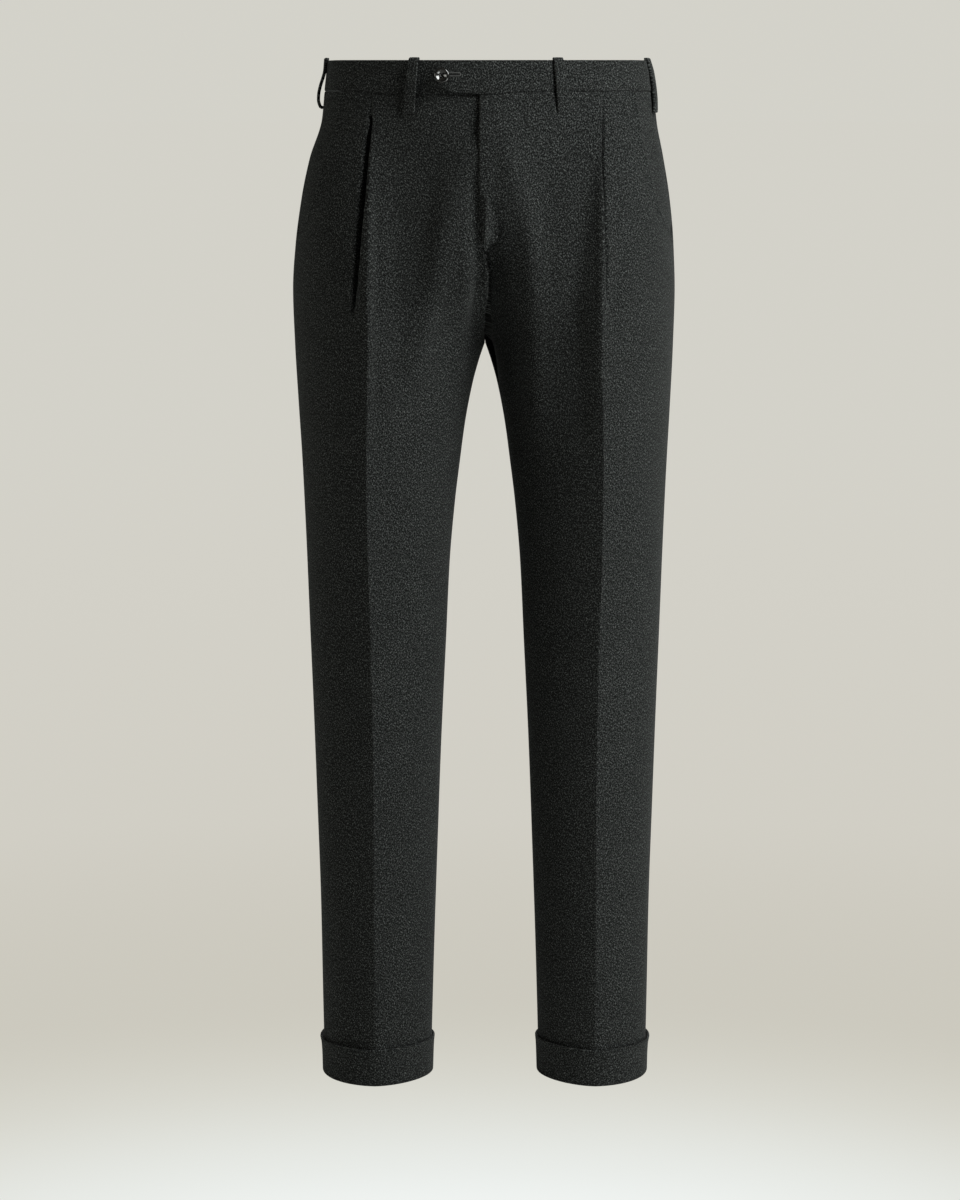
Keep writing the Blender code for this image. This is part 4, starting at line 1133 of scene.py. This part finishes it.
def buttonhole(edge_thread, painted_slit_shade):
    """The worked buttonhole in the tab: two rows of thread that meet in a rounded end, with a near-black thread laid
    along the slit between them as painted shade for the cut.
    """
    start, end, drop, half_height = BUTTONHOLE
    turns = np.linspace(math.pi / 2, -math.pi / 2, 12)
    upper = [(x, drop - half_height) for x in np.linspace(start, end - half_height, 14)]
    bend = [(end - half_height + half_height * math.cos(a), drop - half_height * math.sin(a)) for a in turns[1:-1]]
    lower = [(x, drop + half_height) for x in np.linspace(end - half_height, start, 14)]
    points = [tab_surface(x, y, 0.1) for x, y in upper + bend + lower]
    ripple = 1 + 0.14 * np.cos(np.arange(len(points)) * math.pi)
    edge = tube("buttonhole_edge", points, 0.55 * MM * ripple, 10, edge_thread)
    # Painted shade: a near-black thread laid along the slit stands for the shaded cut.
    slit = [tab_surface(x, drop, -0.12) for x in np.linspace(start, end - 0.6, 12)]
    return edge, tube("buttonhole_slit_shade", slit, np.full(12, SLIT_SHADE_RADIUS * MM), 8, painted_slit_shade)


def bar_tack(material):
    """A close row of upright stitches across the fly's foot."""
    start, end, drop, half_height = BAR_TACK
    pieces = []
    for distance in np.linspace(start, end, BAR_TACK_STITCHES):
        half, place = ("left", distance) if distance > -2.5 else ("right", -distance)
        out = fly_lift(drop, "left", np.array([distance]))[0] + 0.1 if half == "left" else 0.9
        pieces.append(stitch(half, "front", drop, place, math.pi / 2, half_height, out, 0.42, material))
    return joined("bar_tack", pieces)


def fly_stitches(material):
    """The fly's row of small stitches, down and round to its foot."""
    line = np.array(FLY_STITCHES)
    along = np.concatenate([[0.0], np.cumsum(np.linalg.norm(np.diff(line, axis=0), axis=1))])
    pieces = []
    for place in np.arange(FLY_STITCH_EVERY / 2, along[-1], FLY_STITCH_EVERY):
        distance, drop = (np.interp(place, along, line[:, column]) for column in (0, 1))
        ahead = [np.interp(place + 1.0, along, line[:, column]) for column in (0, 1)]
        turn = math.atan2(ahead[1] - drop, ahead[0] - distance)
        spot = np.array(skin_row("left", "front", drop, [distance], [0.0], False))
        out = fly_lift(drop, "left", np.array([distance]))[0] + float(fold_height(spot, "left", "front")[0]) / MM
        pieces.append(stitch("left", "front", drop, distance, turn, FLY_STITCH_HALF, out, THREAD, material))
    return joined("fly_stitches", pieces)


def joined(name, pieces):
    """Several pieces as one object."""
    bm = bmesh.new()
    for piece in pieces:
        bm.from_mesh(piece.data)
    mesh = bpy.data.meshes.new(name)
    bm.to_mesh(mesh)
    bm.free()
    mesh.materials.append(pieces[0].data.materials[0])
    mesh.shade_smooth()
    for piece in pieces:
        old = piece.data
        bpy.data.objects.remove(piece)
        bpy.data.meshes.remove(old)
    return linked(name, mesh)


# ---- Materials ----
class Nodes:
    """A node tree with short calls for adding and joining nodes."""

    def __init__(self, tree):
        self.tree = tree

    def add(self, kind, inputs=None, **settings):
        node = self.tree.nodes.new(kind)
        for key, value in settings.items():
            setattr(node, key, value)
        return self.feed(node, inputs or {})

    def feed(self, node, inputs):
        for key, value in inputs.items():
            if isinstance(value, bpy.types.NodeSocket):
                self.tree.links.new(value, node.inputs[key])
            else:
                node.inputs[key].default_value = value
        return node

    def maths(self, operation, first, second=0.0, clamp=False):
        return self.add("ShaderNodeMath", {0: first, 1: second}, operation=operation, use_clamp=clamp).outputs[0]

    def between(self, value, low, high, to_low=0.0, to_high=1.0, smooth=True):
        kind = "SMOOTHSTEP" if smooth else "LINEAR"
        inputs = {"Value": value, "From Min": low, "From Max": high, "To Min": to_low, "To Max": to_high}
        return self.add("ShaderNodeMapRange", inputs, interpolation_type=kind).outputs["Result"]

    def noise(self, vector, scale, detail=2.0, roughness=0.5, distortion=0.0):
        inputs = {"Vector": vector, "Scale": scale, "Detail": detail, "Roughness": roughness, "Distortion": distortion}
        return self.add("ShaderNodeTexNoise", inputs).outputs["Fac"]

    def blend(self, share, first, second):
        return self.add("ShaderNodeMix", {0: share, 6: first, 7: second}, data_type="RGBA").outputs[2]

    def mapped(self, vector, scale, turn=0.0, shift=(0.0, 0.0, 0.0)):
        inputs = {"Vector": vector, "Scale": scale, "Rotation": (0.0, 0.0, math.radians(turn)), "Location": shift}
        return self.add("ShaderNodeMapping", inputs).outputs["Vector"]


def flannel_group():
    """Carded wool in mixed greys: flecks of light and dark fibre over a twill that the nap half hides."""
    tree = bpy.data.node_groups.new("wool_melange", "ShaderNodeTree")
    for name, kind in (("Vector", "NodeSocketVector"), ("Dark", "NodeSocketColor"), ("Light", "NodeSocketColor"),
                       ("Contrast", "NodeSocketFloat"), ("Unevenness", "NodeSocketFloat")):
        tree.interface.new_socket(name=name, in_out="INPUT", socket_type=kind)
    for name, kind in (("Color", "NodeSocketColor"), ("Height", "NodeSocketFloat")):
        tree.interface.new_socket(name=name, in_out="OUTPUT", socket_type=kind)
    nodes = Nodes(tree)
    given = nodes.add("NodeGroupInput").outputs
    cloth = nodes.mapped(given["Vector"], (1000.0, 1000.0, 1000.0))
    mixed = 0.0
    for scale, stretch, turn, shift, detail, distortion, share in FIBRES:
        fibres = nodes.mapped(cloth, (1.0, stretch, 1.0), turn, shift)
        layer = nodes.noise(fibres, scale, detail, FIBRE_ROUGHNESS, distortion)
        mixed = nodes.maths("ADD", mixed, nodes.maths("MULTIPLY", layer, share))
    fleck = nodes.maths("POWER", nodes.maths("MULTIPLY", mixed, 2.0), given["Contrast"])
    fleck = nodes.maths("MULTIPLY", fleck, 0.1, True)
    broad = nodes.noise(cloth, 0.022, 3.0, 0.5)
    shade = nodes.between(broad, 0.3, 0.7, -1.0, 1.0, False)
    shade = nodes.maths("ADD", nodes.maths("MULTIPLY", shade, given["Unevenness"]), 1.0)
    colour = nodes.blend(fleck, given["Dark"], given["Light"])
    colour = nodes.add("ShaderNodeVectorMath", {0: colour, "Scale": shade}, operation="SCALE").outputs[0]
    twill = nodes.add(
        "ShaderNodeTexWave",
        {"Vector": nodes.mapped(cloth, (1.0, 1.0, 1.0), 27.0), "Scale": 0.34, "Distortion": 1.2, "Detail": 1.0},
        wave_type="BANDS",
    ).outputs["Fac"]
    height = nodes.maths("ADD", nodes.maths("MULTIPLY", mixed, 0.7), nodes.maths("MULTIPLY", twill, 0.12))
    out = nodes.add("NodeGroupOutput")
    tree.links.new(colour, out.inputs["Color"])
    tree.links.new(height, out.inputs["Height"])
    return tree


def new_material(name):
    """A material, its nodes and its shader."""
    material = bpy.data.materials.new(name)
    material.use_nodes = True
    return material, Nodes(material.node_tree), material.node_tree.nodes["Principled BSDF"]


def flannel(name, group):
    """The wool as a material, reading each piece's own cloth coordinates."""
    material, nodes, shader = new_material(name)
    wool = nodes.add("ShaderNodeGroup", node_tree=group)
    nodes.feed(wool, {
        "Vector": nodes.add("ShaderNodeUVMap", uv_map="cloth").outputs["UV"],
        "Dark": (*WOOL_DARK, 1.0),
        "Light": (*WOOL_LIGHT, 1.0),
        "Contrast": FLECK_CONTRAST,
        "Unevenness": UNEVENNESS,
    })
    raised = nodes.add("ShaderNodeBump", {"Height": wool.outputs["Height"], "Strength": NAP_BUMP, "Distance": 0.0004})
    nodes.feed(shader, {
        "Base Color": wool.outputs["Color"],
        "Normal": raised.outputs["Normal"],
        "Roughness": 0.95,
        "Specular IOR Level": 0.12,
        "Sheen Weight": 0.12,
        "Sheen Roughness": 0.45,
        "Sheen Tint": (0.8, 0.82, 0.8, 1.0),
    })
    return material


def horn(name):
    """Polished dark horn with soft streaks."""
    material, nodes, shader = new_material(name)
    place = nodes.add("ShaderNodeTexCoord").outputs["Object"]
    streaks = nodes.noise(nodes.mapped(place, (250.0, 250.0, 900.0), 20.0), 1.0, 3.0, 0.6, 1.5)
    dark, light = (0.004, 0.004, 0.004, 1.0), (0.02, 0.017, 0.014, 1.0)
    nodes.feed(shader, {
        "Base Color": nodes.blend(nodes.between(streaks, 0.35, 0.7), dark, light),
        "Roughness": nodes.between(streaks, 0.3, 0.8, 0.2, 0.3),
        "Specular IOR Level": 0.7,
        "Coat Weight": 1.0,
        "Coat Roughness": 0.1,
        "Coat IOR": 1.6,
    })
    return material


def thread(name, colour):
    """Twisted sewing thread."""
    material, nodes, shader = new_material(name)
    place = nodes.add("ShaderNodeTexCoord").outputs["Object"]
    ply = nodes.noise(nodes.mapped(place, (2600.0, 2600.0, 2600.0), 35.0), 1.0, 2.0)
    shade = nodes.blend(nodes.between(ply, 0.3, 0.7), tuple(0.6 * c for c in colour) + (1.0,), colour + (1.0,))
    nodes.feed(shader, {"Base Color": shade, "Roughness": 0.6, "Sheen Weight": 0.1})
    return material


# ---- The studio ----
def lit_and_seen(nodes, lit, seen):
    """One shader for the light, and another that only the camera sees."""
    camera_ray = nodes.add("ShaderNodeLightPath").outputs["Is Camera Ray"]
    return nodes.add("ShaderNodeMixShader", {0: camera_ray, 1: lit.outputs[0], 2: seen.outputs[0]}).outputs[0]


def studio_floor():
    """A pale floor that runs on to the horizon. The camera sees painted light on it, brightest just in front of the
    trousers, with a darker band further back before the backdrop's tone; the lamps light plain grey paint.
    """
    bm = bmesh.new()
    bmesh.ops.create_circle(bm, cap_ends=True, segments=96, radius=60.0)
    for vertex in bm.verts:
        vertex.co.z = FLOOR_Z
    bmesh.ops.recalc_face_normals(bm, faces=bm.faces)
    material = bpy.data.materials.new("studio_floor")
    material.use_nodes = True
    tree = material.node_tree
    tree.nodes.clear()
    nodes = Nodes(tree)
    place = nodes.add("ShaderNodeTexCoord").outputs["Object"]
    middle = nodes.add("ShaderNodeVectorMath", {0: place, 1: FLOOR_PAINTED_LIGHT_AT}, operation="SUBTRACT").outputs[0]
    away = nodes.add("ShaderNodeVectorMath", {0: middle}, operation="LENGTH").outputs["Value"]
    ramp = nodes.add("ShaderNodeValToRGB", {"Fac": nodes.maths("DIVIDE", away, FLOOR_REACH)})
    elements = ramp.color_ramp.elements
    ramp.color_ramp.interpolation = "B_SPLINE"
    for index, (reach, colour) in enumerate(FLOOR_PAINTED_LIGHT_COLOURS):
        element = elements[index] if index < 2 else elements.new(1.0)
        element.position = reach / FLOOR_REACH
        element.color = (*colour, 1.0)
    # Painted light that only the camera sees: an emission by distance from the brightest place; the lamps light the
    # grey paint instead.
    painted_floor_light = nodes.add("ShaderNodeEmission", {"Color": ramp.outputs["Color"], "Strength": 1.0})
    paint = nodes.add("ShaderNodeBsdfDiffuse", {"Color": (0.6, 0.6, 0.58, 1.0)})
    out = nodes.add("ShaderNodeOutputMaterial", {"Surface": lit_and_seen(nodes, paint, painted_floor_light)})
    out.is_active_output = True
    finished("studio_floor", bm, None, material)


def studio_world():
    """A pale backdrop that lights the cloth only dimly."""
    world = bpy.data.worlds.new("studio")
    bpy.context.scene.world = world
    world.use_nodes = True
    tree = world.node_tree
    tree.nodes.clear()
    nodes = Nodes(tree)
    dim = nodes.add("ShaderNodeBackground", {"Color": (0.97, 1.0, 0.91, 1.0), "Strength": WORLD_LIGHT})
    seen = nodes.add("ShaderNodeBackground", {"Color": (*BACKDROP, 1.0), "Strength": 1.0})
    nodes.add("ShaderNodeOutputWorld", {"Surface": lit_and_seen(nodes, dim, seen)})


def soft_light(name, place, target, size, power, colour):
    light = bpy.data.lights.new(name, "AREA")
    light.shape = "RECTANGLE"
    light.size, light.size_y = size
    light.energy = power
    light.color = colour
    item = linked(name, light)
    item.location = place
    item.rotation_euler = (Vector(target) - Vector(place)).to_track_quat("-Z", "Y").to_euler()


def camera():
    lens = bpy.data.cameras.new("camera")
    lens.sensor_fit = "VERTICAL"
    lens.sensor_height = 24.0
    lens.lens = 24.0 * FOCAL / 1200.0
    lens.clip_end = 200.0
    item = linked("camera", lens)
    item.location = CAMERA_AT
    item.rotation_euler = (math.pi / 2 - math.radians(CAMERA_TILT), 0.0, 0.0)
    bpy.context.scene.camera = item


def placed(piece, node):
    """The piece rides with the trousers and stands for its solid."""
    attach(piece, "root")
    if node:
        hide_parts(node)
    return piece


def net_size(net):
    """A net's widest row, longest column and area."""
    across = np.linalg.norm(np.diff(net, axis=1), axis=-1)
    down = np.linalg.norm(np.diff(net, axis=0), axis=-1)
    turned = np.cross(net[1:, :-1] - net[:-1, :-1], net[:-1, 1:] - net[:-1, :-1])
    return across.sum(1).max(), down.sum(0).max(), float(np.linalg.norm(turned, axis=-1).sum())


def main():
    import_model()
    bpy.context.scene.view_settings.view_transform = "Standard"
    group = flannel_group()
    wool, band_wool = flannel("charcoal_flannel", group), flannel("charcoal_flannel_band", group)
    for half in ("left", "right"):
        for face in ("front", "back"):
            outer, inner, cuts = panel(half, face)
            piece = cloth_solid(f"{face}_panel_{half}", outer, inner, cuts, wool)
            placed(piece, f"{face}_{half}")
            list(net_size(outer))
        for make, node, material in (
            (waistband, f"waistband_{half}", band_wool),
            (pocket_side, f"pocket_side_{half}", wool),
            (turn_up, f"turn_up_{half}", wool),
        ):
            piece = placed(make(half, material), node)
    for row in BELT_LOOPS:
        piece = placed(belt_loop(*row, band_wool), row[0])
    placed(waist_button(horn("dark_horn")), "waist_button")
    grey_thread, dark_thread = thread("grey_thread", GREY_THREAD), thread("dark_thread", DARK_THREAD)
    for piece in (*buttonhole(grey_thread, dark_thread), bar_tack(dark_thread), fly_stitches(dark_thread)):
        placed(piece, None)
    studio_floor()
    studio_world()
    for row in LIGHTS:
        soft_light(*row)
    camera()


main()
